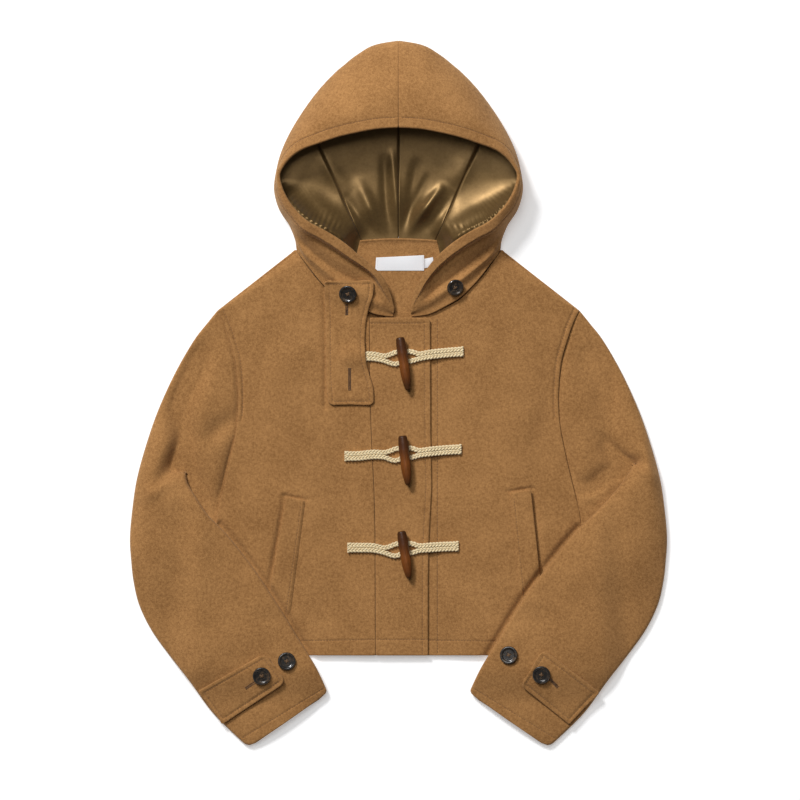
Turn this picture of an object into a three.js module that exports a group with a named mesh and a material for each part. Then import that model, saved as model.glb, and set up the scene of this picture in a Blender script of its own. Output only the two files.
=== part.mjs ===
// A cropped wool duffle coat, laid flat on its back with its hood up and its sleeves folded in over the hem.
// Millimetres. +X is the viewer's right, +Y runs from the hem to the hood, and +Z is up from the surface.
// The tables give x as a distance from the centre line. Side -1 is the viewer's left, and +1 the right.
import * as THREE from 'three';
import { mergeVertices } from 'three/addons/utils/BufferGeometryUtils.js';

// Cloth and seams
const WOOL = 2.4;
const LINING = 0.8;
const GAP = 0.35;
const TAB_CLOTH = 2.6;
const LABEL_CLOTH = 0.5;

// Heights of the cloth's upper face above the surface
const BACK_TOP = WOOL;
const EDGE_TOP = 2 * WOOL + GAP;
const FRONT_TOP = 8.0;
const UNDER_PLACKET_TOP = 6.2;
const PLACKET_TOP = UNDER_PLACKET_TOP + 1.5 * GAP + WOOL;
const SLEEVE_REST = FRONT_TOP + 2 * GAP;

// Body
const HEM_Y = -326;
const HEM_HALF = 238;
const SEAM_X = -29.4;
const PLACKET_EDGE_X = 39.4;
const UNDERLAP_X = -17;
const PLACKET_TOP_Y = 97;
const PLACKET_CORNER = 5;
const NECK_RISE = 13;

// Hardware
const BUTTON_D = 23;
const BUTTON_H = 4.6;
const CORD_D = 5.8;
const TOGGLE_L = 69;
const TOGGLE_D = 13;

const finish = (color, roughness) => new THREE.MeshStandardMaterial({ color, roughness, metalness: 0 });
const wool = finish(0xa97b4b, 0.95);
const satin = finish(0x8a6f3e, 0.4);
const braid = finish(0xe3d3a6, 0.9);
const wood = finish(0x6b3216, 0.45);
const horn = finish(0x2c2622, 0.35);
const tape = finish(0xf1f1f4, 0.8);

const clamp = (value, low, high) => Math.min(high, Math.max(low, value));
const mix = (a, b, t) => a + (b - a) * t;
const smooth = (a, b, value) => {
  const t = clamp((value - a) / (b - a), 0, 1);
  return t * t * (3 - 2 * t);
};
const onSide = (half, y, z = 0) => new THREE.Vector3(half, y, z);

// A smooth curve through points, read at 0 to 1 with the same share of the way between each two points.
const through = (points) => {
  const curve = new THREE.CatmullRomCurve3(points, false, 'centripetal');
  return (t) => curve.getPoint(clamp(t, 0, 1));
};

// The same grid of points moved along its own normals. pin keeps the first row in its plane of x.
function moved(face, distance, { ring = false, pin = false } = {}) {
  const rows = face.length;
  const cols = face[0].length;
  const at = (i, j) => face[clamp(i, 0, rows - 1)][ring ? (j + cols) % cols : clamp(j, 0, cols - 1)];
  return face.map((row, i) => row.map((point, j) => {
    const along = at(i + 1, j).clone().sub(at(i - 1, j));
    const across = at(i, j + 1).clone().sub(at(i, j - 1));
    const normal = across.cross(along);
    if (pin && i === 0) {
      normal.x = 0;
    }
    return point.clone().addScaledVector(normal.normalize(), distance);
  }));
}

// A wall of cloth: its shown face is a grid of points, and the other face lies a thickness away behind it.
// A positive thickness goes along row x column; ring says that each row closes on itself.
function wall(face, thickness, { ring = false, pin = false } = {}) {
  const rows = face.length;
  const cols = face[0].length;
  const last = ring ? cols : cols - 1;
  const flat = [...face.flat(), ...moved(face, thickness, { ring, pin }).flat()];
  const front = (i, j) => i * cols + (j % cols);
  const rear = (i, j) => rows * cols + front(i, j);
  const triangles = [];
  const quad = (a, b, c, d) => triangles.push(a, b, c, a, c, d);
  for (let i = 0; i < rows - 1; i += 1) {
    for (let j = 0; j < last; j += 1) {
      quad(front(i, j), front(i, j + 1), front(i + 1, j + 1), front(i + 1, j));
      quad(rear(i, j), rear(i + 1, j), rear(i + 1, j + 1), rear(i, j + 1));
    }
  }
  for (let j = 0; j < last; j += 1) {
    quad(front(0, j), rear(0, j), rear(0, j + 1), front(0, j + 1));
    quad(front(rows - 1, j), front(rows - 1, j + 1), rear(rows - 1, j + 1), rear(rows - 1, j));
  }
  for (let i = 0; i < rows - 1 && !ring; i += 1) {
    quad(front(i, 0), front(i + 1, 0), rear(i + 1, 0), rear(i, 0));
    quad(front(i, cols - 1), rear(i, cols - 1), rear(i + 1, cols - 1), front(i + 1, cols - 1));
  }
  return solid(flat, triangles);
}

// A wall whose shown face looks up, whichever way its grid runs.
function laidWall(face, thickness) {
  const [corner, across, along] = [face[0][0], face[0][1], face[1][0]];
  const turn = across.clone().sub(corner).cross(along.clone().sub(corner)).z;
  return wall(face, turn > 0 ? -thickness : thickness);
}

// A closed body from points and triangles, with doubled points joined and its faces turned outwards.
function solid(points, triangles) {
  let geometry = new THREE.BufferGeometry();
  const numbers = points.flatMap((p) => [p.x, p.y, p.z]);
  geometry.setAttribute('position', new THREE.Float32BufferAttribute(numbers, 3));
  geometry.setIndex(triangles);
  geometry = mergeVertices(geometry, 0.004);
  const place = geometry.attributes.position;
  const corner = (k) => new THREE.Vector3().fromBufferAttribute(place, k);
  const kept = [];
  let volume = 0;
  for (let k = 0; k < geometry.index.count; k += 3) {
    const [a, b, c] = [0, 1, 2].map((n) => geometry.index.getX(k + n));
    if (a !== b && b !== c && a !== c) {
      kept.push(a, b, c);
      volume += corner(a).dot(corner(b).cross(corner(c)));
    }
  }
  if (volume < 0) {
    kept.reverse();
  }
  geometry.setIndex(kept);
  geometry.computeVertexNormals();
  return geometry;
}

// A library shape with only its points left, and doubled points joined.
function bare(geometry) {
  geometry.deleteAttribute('normal');
  geometry.deleteAttribute('uv');
  const merged = mergeVertices(geometry, 0.004);
  merged.computeVertexNormals();
  return merged;
}

const coat = new THREE.Group();
const made = {};
function add(name, geometry, finish) {
  const mesh = new THREE.Mesh(geometry, finish);
  mesh.name = name;
  coat.add(mesh);
  made[name] = mesh;
  return mesh;
}

// The highest point of the named pieces over (x, y), or low where none lies there.
function heightOver(names, x, y, low) {
  let best = low;
  for (const name of names) {
    const { position } = made[name].geometry.attributes;
    const { index } = made[name].geometry;
    for (let k = 0; k < index.count; k += 3) {
      const [a, b, c] = [0, 1, 2].map((n) => index.getX(k + n));
      const [ax, ay] = [position.getX(a) - x, position.getY(a) - y];
      const [bx, by] = [position.getX(b) - x, position.getY(b) - y];
      const [cx, cy] = [position.getX(c) - x, position.getY(c) - y];
      const area = (bx - ax) * (cy - ay) - (by - ay) * (cx - ax);
      if (Math.abs(area) > 1e-9) {
        const u = (bx * cy - by * cx) / area;
        const v = (cx * ay - cy * ax) / area;
        const w = 1 - u - v;
        if (u >= 0 && v >= 0 && w >= 0) {
          best = Math.max(best, u * position.getZ(a) + v * position.getZ(b) + w * position.getZ(c));
        }
      }
    }
  }
  return best;
}

// A flat-cut piece, its plan given as a grid, laid over named pieces. It rests on the highest of them.
function laidOver(plan, names, thickness, { reach = 4, passes = 12, low = 0, gap = GAP } = {}) {
  const ring = [[0, 0]];
  for (let k = 0; k < 8; k += 1) {
    const turn = (k * Math.PI) / 4;
    ring.push([Math.cos(turn), Math.sin(turn)], [0.5 * Math.cos(turn), 0.5 * Math.sin(turn)]);
  }
  const floor = plan.map((row) => row.map((p) => Math.max(
    ...ring.map(([dx, dy]) => heightOver(names, p.x + dx * reach, p.y + dy * reach, low)),
  ) + gap + thickness));
  let z = floor.map((row) => [...row]);
  for (let pass = 0; pass < passes; pass += 1) {
    z = z.map((row, i) => row.map((value, j) => {
      const near = [z[i - 1]?.[j], z[i + 1]?.[j], row[j - 1], row[j + 1]].filter((v) => v !== undefined);
      const mean = near.reduce((sum, v) => sum + v, 0) / near.length;
      return Math.max(floor[i][j], mix(value, mean, 0.5));
    }));
  }
  return plan.map((row, i) => row.map((p, j) => new THREE.Vector3(p.x, p.y, z[i][j])));
}

// Body

const mirrored = (grid, side) => grid.map((row) => row.map((p) => new THREE.Vector3(side * p.x, p.y, p.z)));

// The armhole from the shoulder point down to the underarm, as distances from the centre line.
const ARMHOLE = [
  { half: 226, y: 105 },
  { half: 218, y: 88 },
  { half: 210.5, y: 66 },
  { half: 204, y: 43 },
  { half: 201, y: 18 },
  { half: 200, y: -10 },
  { half: 202, y: -40 },
  { half: 208, y: -72 },
  { half: 214, y: -98 },
  { half: 220.5, y: -124 },
  { half: 226, y: -146 },
];
const ARM_STEPS = 9;
const armShare = (k) => (1 - Math.cos((Math.PI * k) / ARM_STEPS)) / 2;
const armCurve = new THREE.CatmullRomCurve3(ARMHOLE.map((p) => onSide(p.half, p.y)));
const armhole = Array.from({ length: ARM_STEPS + 1 }, (_, k) => armCurve.getPointAt(armShare(k)));

// The side seam from the hem to the underarm, then the armhole up to the shoulder point.
const SIDE_SEAM = [
  { half: HEM_HALF, y: HEM_Y },
  { half: 236.5, y: -280 },
  { half: 234, y: -232 },
  { half: 230.5, y: -188 },
];
const bodySide = [...SIDE_SEAM.map((p) => onSide(p.half, p.y)), ...[...armhole].reverse()];
const UNDERARM_ROW = SIDE_SEAM.length;
const SHOULDER_ROW = bodySide.length - 1;
const NECK_POINT = { half: 130, y: 180 };
const backNeckY = (x) => NECK_POINT.y + NECK_RISE * (1 - (x / NECK_POINT.half) ** 2);

function backPanel() {
  const cols = 12;
  const neck = onSide(NECK_POINT.half, NECK_POINT.y);
  const shoulder = [0.5, 1].map((t) => bodySide[SHOULDER_ROW].clone().lerp(neck, t));
  const rows = [...bodySide, ...shoulder];
  return laidWall(rows.map((row, i) => Array.from({ length: cols + 1 }, (_, j) => {
    const x = mix(-row.x, row.x, j / cols);
    const y = i === rows.length - 1 ? backNeckY(x) : row.y;
    return new THREE.Vector3(x, y, BACK_TOP);
  })), WOOL);
}
add('back', backPanel(), wool);

// The inner edge of each front: straight up the opening, then round the neck seam to the shoulder.
const NECK_SEAM = [
  { half: 61, y: 111 },
  { half: 92, y: 134.5 },
  { half: 111, y: 156 },
  { half: 126.5, y: 178.5 },
];
const OPENING_ROWS = bodySide.length - NECK_SEAM.length;
const SIDE_TURN = 16;

// The height of a front's upper face. The front on the viewer's right dips under the placket.
function frontHeight(x, side) {
  if (side < 0) {
    return mix(FRONT_TOP, PLACKET_TOP, smooth(SEAM_X - 55, SEAM_X, x));
  }
  return mix(UNDER_PLACKET_TOP, FRONT_TOP, smooth(PLACKET_EDGE_X + 34, PLACKET_EDGE_X + 80, x));
}

// near lists the distances of the first columns from the inner edge, in the rows beside the opening.
function frontPanel(side, openingX, openingTopY, near) {
  const spread = 5;
  return laidWall(bodySide.map((outer, i) => {
    const neck = NECK_SEAM[i - OPENING_ROWS];
    const inner = neck
      ? { x: side * neck.half, y: neck.y }
      : { x: openingX, y: mix(HEM_Y, openingTopY, i / (OPENING_ROWS - 1)) };
    const span = Math.abs(side * outer.x - inner.x);
    const scale = Math.min(1, span / 190);
    const first = near.map((d) => d * scale);
    const from = first[first.length - 1];
    const to = span - SIDE_TURN;
    const rest = Array.from({ length: spread }, (_, k) => mix(from, to, (k + 1) / spread));
    return [...first, ...rest, span].map((d) => {
      const t = d / span;
      const x = mix(inner.x, side * outer.x, t);
      const side_drop = i <= UNDERARM_ROW ? 1 - smooth(0, SIDE_TURN, span - d) : 0;
      const drop = i === SHOULDER_ROW ? 1 : side_drop;
      return new THREE.Vector3(x, mix(inner.y, outer.y, t), mix(frontHeight(x, side), EDGE_TOP, drop));
    });
  }), WOOL);
}
add('front_viewer_left', frontPanel(-1, SEAM_X, PLACKET_TOP_Y, [0, 27, 55]), wool);
add('front_viewer_right', frontPanel(1, UNDERLAP_X, PLACKET_TOP_Y + 3, [0, 29, 59, 78, 97]), wool);

function placket() {
  const rows = 14;
  const cols = [SEAM_X + GAP, -14, 0, 16, 31, PLACKET_EDGE_X];
  return laidWall(Array.from({ length: rows + 1 }, (_, i) => {
    const y = mix(HEM_Y, PLACKET_TOP_Y - 1, i / rows);
    return cols.map((x, j) => {
      const corner = i === rows && j === cols.length - 1 ? PLACKET_CORNER : 0;
      return new THREE.Vector3(x, y - corner, PLACKET_TOP);
    });
  }), WOOL);
}
add('placket', placket(), wool);

// Pocket welts, from the top corner of the inner seam. Distances from the centre line.
const WELTS = [
  { side: -1, name: 'viewer_left', seam: [[116, -133], [133, -270]], opening: [[140, -128], [158.5, -240]] },
  { side: 1, name: 'viewer_right', seam: [[138, -123], [151, -257]], opening: [[165.5, -119], [175, -225]] },
];
for (const welt of WELTS) {
  const rows = 8;
  const cols = 3;
  const plan = Array.from({ length: rows + 1 }, (_, i) => Array.from({ length: cols + 1 }, (_, j) => {
    const edge = ([top, end]) => onSide(...top).lerp(onSide(...end), i / rows);
    const place = edge(welt.seam).lerp(edge(welt.opening), j / cols);
    return place.setX(welt.side * place.x);
  }));
  const face = laidOver(plan, [`front_${welt.name}`], WOOL, { reach: 0, passes: 0 });
  add(`pocket_welt_${welt.name}`, laidWall(face, WOOL), wool);
}

// Sleeves: flattened tubes. Each row is a section across the arm, from its outer edge to its inner edge.
// height is the tube's own, and over says how far the section climbs over the body where it lies on it.
// The inner edge runs out to the elbow's fold and back close beside itself: FOLD gives it for each side.
const ARM_ROWS = [
  { ox: 239, oy: 89, height: 13, over: 0 },
  { ox: 256, oy: 67, height: 16.5, over: 0 },
  { ox: 279, oy: 27, height: 19, over: 0 },
  { ox: 300, oy: -19, height: 20.5, over: 0 },
  { ox: 315, oy: -62, height: 22, over: 0 },
  { ox: 327, oy: -106, height: 23, over: 0.1 },
  { ox: 333, oy: -147, height: 22.5, over: 0.5 },
  { ox: 335.6, oy: -180, height: 21.5, over: 1 },
  { ox: 334, oy: -208, height: 20.5, over: 1 },
  { ox: 331, oy: -234, height: 19, over: 1 },
  { ox: 324, oy: -263, ix: 208, iy: -182, height: 17.5, over: 1 },
  { ox: 309, oy: -294, ix: 182, iy: -217, height: 16, over: 1 },
  { ox: 287, oy: -325, ix: 154, iy: -258, height: 14.5, over: 1 },
  { ox: 261, oy: -358, ix: 127, iy: -301, height: 13.5, over: 1 },
  { ox: 231, oy: -399, ix: 103, iy: -341, height: 12.5, over: 1 },
  { ox: 187, oy: -441.6, ix: 89, iy: -373, height: 11.5, over: 1 },
];
const FOLD = {
  viewer_left: [
    { ix: 237.2, iy: -147 },
    { ix: 247, iy: -132 },
    { ix: 253.7, iy: -122 },
    { ix: 259.8, iy: -111 },
    { ix: 262.8, iy: -99 },
    { ix: 266, iy: -99 },
    { ix: 262.2, iy: -112.8 },
    { ix: 252, iy: -129.5 },
    { ix: 239.4, iy: -148.5 },
    { ix: 222, iy: -166.5 },
  ],
  viewer_right: [
    { ix: 237.5, iy: -150.5 },
    { ix: 250, iy: -138.5 },
    { ix: 263, iy: -124.5 },
    { ix: 275.5, iy: -109.5 },
    { ix: 289.5, iy: -88 },
    { ix: 293, iy: -88.5 },
    { ix: 283, iy: -104.5 },
    { ix: 267, iy: -124.5 },
    { ix: 247, iy: -146 },
    { ix: 225, iy: -167 },
  ],
};
const sleeveRows = (name) => ARM_ROWS.map((row, i) => ({ ...row, ...FOLD[name][i] }));
const ARM_FADE = [1, 0.8, 0.55, 0.3, 0.12, 0];

// How high a sleeve's underside must rest at a place: over the body and its welts, sinking to 0 beyond them.
function restHeight(half, y) {
  const sideHalf = mix(HEM_HALF, 226, clamp((y - HEM_Y) / 180, 0, 1));
  const onBody = 1 - smooth(sideHalf + 12, sideHalf + 52, half);
  const aboveHem = smooth(HEM_Y - 62, HEM_Y - 12, y);
  const onWelt = smooth(-285, -255, y) * (1 - smooth(168, 200, half)) * 2.8;
  return (SLEEVE_REST + onWelt) * onBody * aboveHem;
}

function sleeve(side, rows) {
  const around = 2 * ARM_STEPS;
  const start = onSide(armhole[0].x, armhole[0].y);
  const end = onSide(armhole[ARM_STEPS].x, armhole[ARM_STEPS].y);
  const stations = [{ ox: start.x, oy: start.y, ix: end.x, iy: end.y, height: FRONT_TOP, over: 0 }, ...rows];
  const face = stations.map((row, i) => Array.from({ length: around }, (_, j) => {
    const k = j <= ARM_STEPS ? j : around - j;
    const top = j <= ARM_STEPS;
    const share = armShare(k);
    const bow = armhole[k].clone().sub(start.clone().lerp(end, share)).multiplyScalar(ARM_FADE[i] ?? 0);
    const flat = onSide(mix(row.ox, row.ix, share), mix(row.oy, row.iy, share)).add(bow);
    const away = armCurve.getTangentAt(share);
    const atEnd = k === 0 || k === ARM_STEPS;
    const seam = (i === 0 ? GAP : 0) * (atEnd ? 3 : 1.2);
    const rest = restHeight(flat.x, flat.y) * row.over;
    const round = Math.sin((Math.PI * k) / ARM_STEPS) ** 0.6 * (top ? 1 : -1);
    const z = rest + row.height * (0.5 + 0.5 * round);
    return new THREE.Vector3(side * (flat.x - away.y * seam), flat.y + away.x * seam, z);
  }));
  return wall(face, side * -WOOL, { ring: true });
}
add('sleeve_viewer_left', sleeve(-1, sleeveRows('viewer_left')), wool);
add('sleeve_viewer_right', sleeve(1, sleeveRows('viewer_right')), wool);

// Hood: each row runs from the rim (rx, ry, rz) over the outermost place (sx, sy, sz), then back along the
// surface to the neck seam (nx, ny, nz). The first row is the centre seam, and the last is at the throat.
const HOOD_ROWS = [
  { rx: 0.2, ry: 331, rz: 64, sx: 0.2, sy: 441.6, sz: 15, nx: 0.2, ny: 193.9, nz: 0 },
  { rx: 26, ry: 329.5, rz: 64, sx: 36, sy: 433.5, sz: 15, nx: 12, ny: 193.8, nz: 0 },
  { rx: 52, ry: 325, rz: 62, sx: 71, sy: 408.5, sz: 15, nx: 24, ny: 193.5, nz: 0 },
  { rx: 76, ry: 319.5, rz: 59, sx: 97, sy: 382.5, sz: 15, nx: 35, ny: 193, nz: 0 },
  { rx: 98, ry: 312.5, rz: 55, sx: 119, sy: 353, sz: 15, nx: 46, ny: 192.4, nz: 0 },
  { rx: 122, ry: 304, rz: 51, sx: 136, sy: 324, sz: 15, nx: 58, ny: 191.2, nz: 0 },
  { rx: 140, ry: 291, rz: 48, sx: 147, sy: 297, sz: 15, nx: 72, ny: 189.6, nz: 0 },
  { rx: 150.5, ry: 275, rz: 46, sx: 151.5, sy: 270, sz: 14, nx: 86, ny: 187.6, nz: 0 },
  { rx: 154, ry: 255, rz: 46, sx: 150, sy: 243, sz: 14, nx: 98, ny: 185.9, nz: 0 },
  { rx: 147.5, ry: 235, rz: 47, sx: 143, sy: 220, sz: 14, nx: 110, ny: 184.1, nz: 0.6 },
  { rx: 136.5, ry: 218.5, rz: 47, sx: 132, sy: 203, sz: 14, nx: 120, ny: 183, nz: 3 },
  { rx: 118, ry: 203, rz: 46, sx: 126, sy: 187, sz: 16, nx: 127.5, ny: 180.5, nz: 7.6 },
  { rx: 98, ry: 191.5, rz: 44, sx: 117, sy: 175, sz: 19, nx: 112, ny: 159, nz: 12.4 },
  { rx: 79, ry: 180, rz: 41, sx: 96, sy: 156, sz: 19, nx: 95, ny: 138, nz: 12.4 },
  { rx: 61, ry: 167.5, rz: 37, sx: 73, sy: 138, sz: 19, nx: 77, ny: 121, nz: 12.4 },
  { rx: 46, ry: 153, rz: 31, sx: 53, sy: 125, sz: 18, nx: 60, ny: 111, nz: 12.4 },
  { rx: 34, ry: 137, rz: 25, sx: 37, sy: 114, sz: 16, nx: 41, ny: 104, nz: 12.4 },
  { rx: 25, ry: 121, rz: 19, sx: 25, sy: 107, sz: 14, nx: 25, ny: 100.6, nz: 12.4 },
];
const HOOD_COLUMNS = [0, 0.07, 0.18, 0.3, 0.41, 0.5, 0.56, 0.64, 0.76, 0.88, 1];
const HOOD_SIDE_SEAM_ROW = 4;

function hoodSection(row) {
  const rim = onSide(row.rx, row.ry, row.rz);
  const fold = onSide(row.sx, row.sy, row.sz);
  const neck = onSide(row.nx, row.ny, row.nz);
  const fall = row.rz - row.sz;
  const curve = through([
    rim,
    rim.clone().lerp(fold, 0.5).setZ(row.rz - 0.2 * fall),
    fold,
    fold.clone().lerp(neck, 0.5).setZ(row.nz + 0.08 * (row.sz - row.nz)),
    neck,
  ]);
  return HOOD_COLUMNS.map((v) => {
    const p = curve(v);
    return p.setZ(Math.max(p.z, 0));
  });
}
const hood = HOOD_ROWS.map(hoodSection);
for (const [name, side] of [['viewer_left', -1], ['viewer_right', 1]]) {
  add(`hood_${name}`, wall(mirrored(hood, side), side * WOOL, { pin: true }), wool);
}

// Lining: it lies inside the hood and starts a hem's width in from the rim.
const lined = moved(hood, WOOL + GAP, { pin: true }).map((row) => row.slice(1));
for (const [name, side] of [['viewer_left', -1], ['viewer_right', 1]]) {
  const centre = lined.slice(0, HOOD_SIDE_SEAM_ROW + 1);
  const flank = lined.slice(HOOD_SIDE_SEAM_ROW);
  flank[0] = flank[0].map((p, j) => p.clone().lerp(flank[1][j], 0.35 / p.distanceTo(flank[1][j])));
  add(`lining_centre_${name}`, wall(mirrored(centre, side), side * LINING, { pin: true }), satin);
  add(`lining_side_${name}`, wall(mirrored(flank, side), side * LINING), satin);
}

// The facing inside the back of the neck, with its two blank labels.
const FACING_ROWS = [
  { half: 27, y: 108.5 },
  { half: 45, y: 115.5 },
  { half: 58, y: 137 },
  { half: 58, y: 162 },
  { half: 54, y: 189.5 },
];
const facingPlan = FACING_ROWS.map((row, i) => [-1, -0.5, 0, 0.5, 1].map((t) => {
  const rise = i === FACING_ROWS.length - 1 ? 2.4 * (1 - t * t) : 0;
  return new THREE.Vector3(t * row.half, row.y + rise, BACK_TOP + GAP + WOOL);
}));
add('neck_facing', laidWall(facingPlan, WOOL), wool);

// A flat panel's plan from its four corners, with its short ends rounded by pull at the corners.
function patch(corners, rows, cols, pull = 0) {
  const [a, b, c, d] = corners.map(([x, y]) => new THREE.Vector3(x, y, 0));
  const middle = a.clone().add(b).add(c).add(d).multiplyScalar(0.25);
  return Array.from({ length: rows + 1 }, (_, i) => Array.from({ length: cols + 1 }, (_, j) => {
    const low = a.clone().lerp(b, j / cols);
    const high = d.clone().lerp(c, j / cols);
    const corner = (i === 0 || i === rows) && (j === 0 || j === cols);
    return low.lerp(high, i / rows).lerp(middle, corner ? pull : 0);
  }));
}
const MAIN_LABEL = [[-29, 154.5], [32, 154.5], [32, 174], [-28, 171]];
const SIZE_LABEL = [[32.4, 157.5], [45, 160], [43, 171.5], [32.4, 169.5]];
for (const [name, corners, cols] of [['main_label', MAIN_LABEL, 4], ['size_label', SIZE_LABEL, 2]]) {
  const face = laidOver(patch(corners, 2, cols), ['neck_facing'], LABEL_CLOTH);
  add(name, laidWall(face, LABEL_CLOTH), tape);
}

// Cords: each closing has a loop on the viewer's right and a toggle's cord on the viewer's left.
const CLOSINGS = [
  { y: 47.5, right: 80.5, left: -66, rise: 0, toggle: [[1.9, 71.2], [11.9, 4.4]] },
  { y: -73, right: 78, left: -66.5, rise: 4, toggle: [[4.9, -51.4], [11.9, -113.9]] },
  { y: -192, right: 74.5, left: -63, rise: 1, toggle: [[3.6, -170.6], [13.1, -230]] },
];
const STRAND = CORD_D / 2 + 0.25;
const CORD_Z = CORD_D / 2 + 1.6 * GAP;

function cordMesh(name, points) {
  const section = new THREE.Shape();
  section.absarc(0, 0, CORD_D / 2, 0, 2 * Math.PI);
  const path = new THREE.CatmullRomCurve3(points, false, 'centripetal');
  const geometry = new THREE.ExtrudeGeometry(section, {
    steps: 22, curveSegments: 3, extrudePath: path, bevelEnabled: false,
  });
  add(name, bare(geometry), braid);
}

// A doubled cord: from its sewn end along one strand, round a bend under the toggle, and back along the other.
function doubledCord(name, endX, bendX, y, split, spread) {
  const under = ['placket', 'front_viewer_left', 'front_viewer_right'];
  const route = [
    [endX, STRAND],
    [mix(endX, split, 0.5), STRAND],
    [split, STRAND],
    [mix(split, bendX, 0.5), mix(STRAND, spread, 0.75)],
    [bendX - Math.sign(bendX - endX) * spread * 0.5, spread],
    [bendX, 0],
  ];
  const back = route.slice(0, -1).reverse().map(([x, dy]) => [x, -dy]);
  const points = [...route, ...back].map(([x, dy]) => {
    const z = Math.max(...[-4, 0, 4].map((dx) => heightOver(under, x + dx, y + dy, 0)));
    return new THREE.Vector3(x, y + dy, z + CORD_Z);
  });
  cordMesh(name, points);
}

function toggleGeometry(length) {
  const half = [
    { at: 0, d: 0 },
    { at: 0.001, d: 6.5 },
    { at: 0.03, d: 9 },
    { at: 0.12, d: 10.5 },
    { at: 0.3, d: TOGGLE_D },
  ];
  const other = [...half].reverse().map((w) => ({ at: 1 - w.at, d: w.d }));
  const profile = [...half, { at: 0.5, d: TOGGLE_D }, ...other];
  const points = profile.map((w) => new THREE.Vector2(w.d / 2, (w.at - 0.5) * length));
  return bare(new THREE.LatheGeometry(points, 12));
}

CLOSINGS.forEach((closing, row) => {
  doubledCord(`loop_cord_${row + 1}`, closing.right, 9.5, closing.y, 34, STRAND + 4.2);
  doubledCord(`toggle_cord_${row + 1}`, closing.left, 2.8, closing.y - 1, -16, STRAND + 7.5);
  const height = PLACKET_TOP + CORD_D + 2 * GAP + TOGGLE_D / 2;
  const [top, end] = closing.toggle.map(([x, y]) => onSide(x, y, height));
  const toggle = add(`toggle_${row + 1}`, toggleGeometry(TOGGLE_L), wood);
  toggle.position.copy(top.clone().lerp(end, 0.5));
  toggle.quaternion.setFromUnitVectors(new THREE.Vector3(0, 1, 0), top.clone().sub(end).normalize());
});

// Throat tab: a strip with two wide ends, buttoned at the top.
const TAB_ROWS = [
  { y: -13, left: -82, right: -35 },
  { y: -6, left: -87.5, right: -30.5 },
  { y: 8, left: -89, right: -31.5 },
  { y: 24, left: -90, right: -36 },
  { y: 37, left: -90.3, right: -39.5 },
  { y: 47, left: -90.5, right: -41 },
  { y: 58, left: -90.6, right: -41.6 },
  { y: 70, left: -90.6, right: -41.8 },
  { y: 90, left: -90.6, right: -40.5 },
  { y: 108, left: -91, right: -36.5 },
  { y: 124, left: -92, right: -31.5 },
  { y: 136, left: -92.5, right: -30.5 },
  { y: 142, left: -87.5, right: -35 },
];
const TAB_SHARES = [0, 0.25, 0.5, 0.75, 1];
const tabPlan = TAB_ROWS.map((row) => TAB_SHARES.map((t) => onSide(mix(row.left, row.right, t), row.y)));
const tabOver = ['front_viewer_left', 'placket', 'hood_viewer_left', 'toggle_cord_1'];
const tabFace = laidOver(tabPlan, tabOver, TAB_CLOTH, { reach: 8, gap: 2 * GAP });
add('throat_tab', laidWall(tabFace, TAB_CLOTH), wool);

// Cuff straps: each lies on its sleeve from the inner end, and turns down over the outer edge.
const STRAPS = {
  viewer_left: [[-167, -325], [-142, -359], [-219.5, -411], [-249, -370]],
  viewer_right: [[180, -320], [153, -362], [213, -411], [250, -372]],
};
for (const [name, corners] of Object.entries(STRAPS)) {
  const face = laidOver(patch(corners, 6, 3, 0.06), [`sleeve_${name}`], WOOL, { low: 2, reach: 3, passes: 3 });
  add(`cuff_strap_${name}`, laidWall(face, WOOL), wool);
}

// Buttons: a dished disc with a raised rim.
function buttonGeometry() {
  const r = BUTTON_D / 2;
  const profile = [
    { reach: 0, z: 0 },
    { reach: 0.8, z: 0 },
    { reach: 1, z: 1.4 },
    { reach: 1, z: 3.2 },
    { reach: 0.9, z: BUTTON_H },
    { reach: 0.72, z: BUTTON_H - 1.1 },
    { reach: 0, z: BUTTON_H - 1.4 },
  ];
  return bare(new THREE.LatheGeometry(profile.map((p) => new THREE.Vector2(p.reach * r, p.z)), 20));
}
const STRAP_BUTTONS = {
  viewer_left: [[-139.5, -332.5], [-170.5, -350.5]],
  viewer_right: [[137.5, -325], [178, -349]],
};
const BUTTONS = [
  { name: 'button_tab', x: -63, y: 125.5, lift: 1.5, on: ['throat_tab'] },
  { name: 'button_neck', x: 70.5, y: 133.8, lift: 2.6, on: ['hood_viewer_right'] },
];
for (const [arm, places] of Object.entries(STRAP_BUTTONS)) {
  places.forEach(([x, y], k) => {
    const on = [`sleeve_${arm}`, `cuff_strap_${arm}`];
    BUTTONS.push({ name: `button_strap_${arm}_${k + 1}`, x, y, lift: 0.5, on });
  });
}
for (const spec of BUTTONS) {
  const at = (dx, dy) => heightOver(spec.on, spec.x + dx, spec.y + dy, 0);
  const reach = BUTTON_D * 0.38;
  const tilt = [at(-reach, 0) - at(reach, 0), at(0, -reach) - at(0, reach)];
  const normal = new THREE.Vector3(...tilt, 2 * reach).normalize();
  const button = add(spec.name, buttonGeometry(), horn);
  button.position.set(spec.x, spec.y, at(0, 0)).addScaledVector(normal, spec.lift);
  button.quaternion.setFromUnitVectors(new THREE.Vector3(0, 1, 0), normal);
}

export default coat;
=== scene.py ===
"""A cropped wool duffle coat laid flat on its back, with its hood up and its sleeves folded in.

The tables and sizes are in millimetres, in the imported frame: +X is the viewer's right, +Y runs from
the hem to the hood, and +Z is up from the surface. A half table gives x as a distance from the centre
line, and a side is -1 for the viewer's left and +1 for the viewer's right.
"""

import logging
import math
from dataclasses import dataclass, field
from enum import Enum

import bpy
import numpy as np
from mathutils import Matrix, Vector


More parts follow.
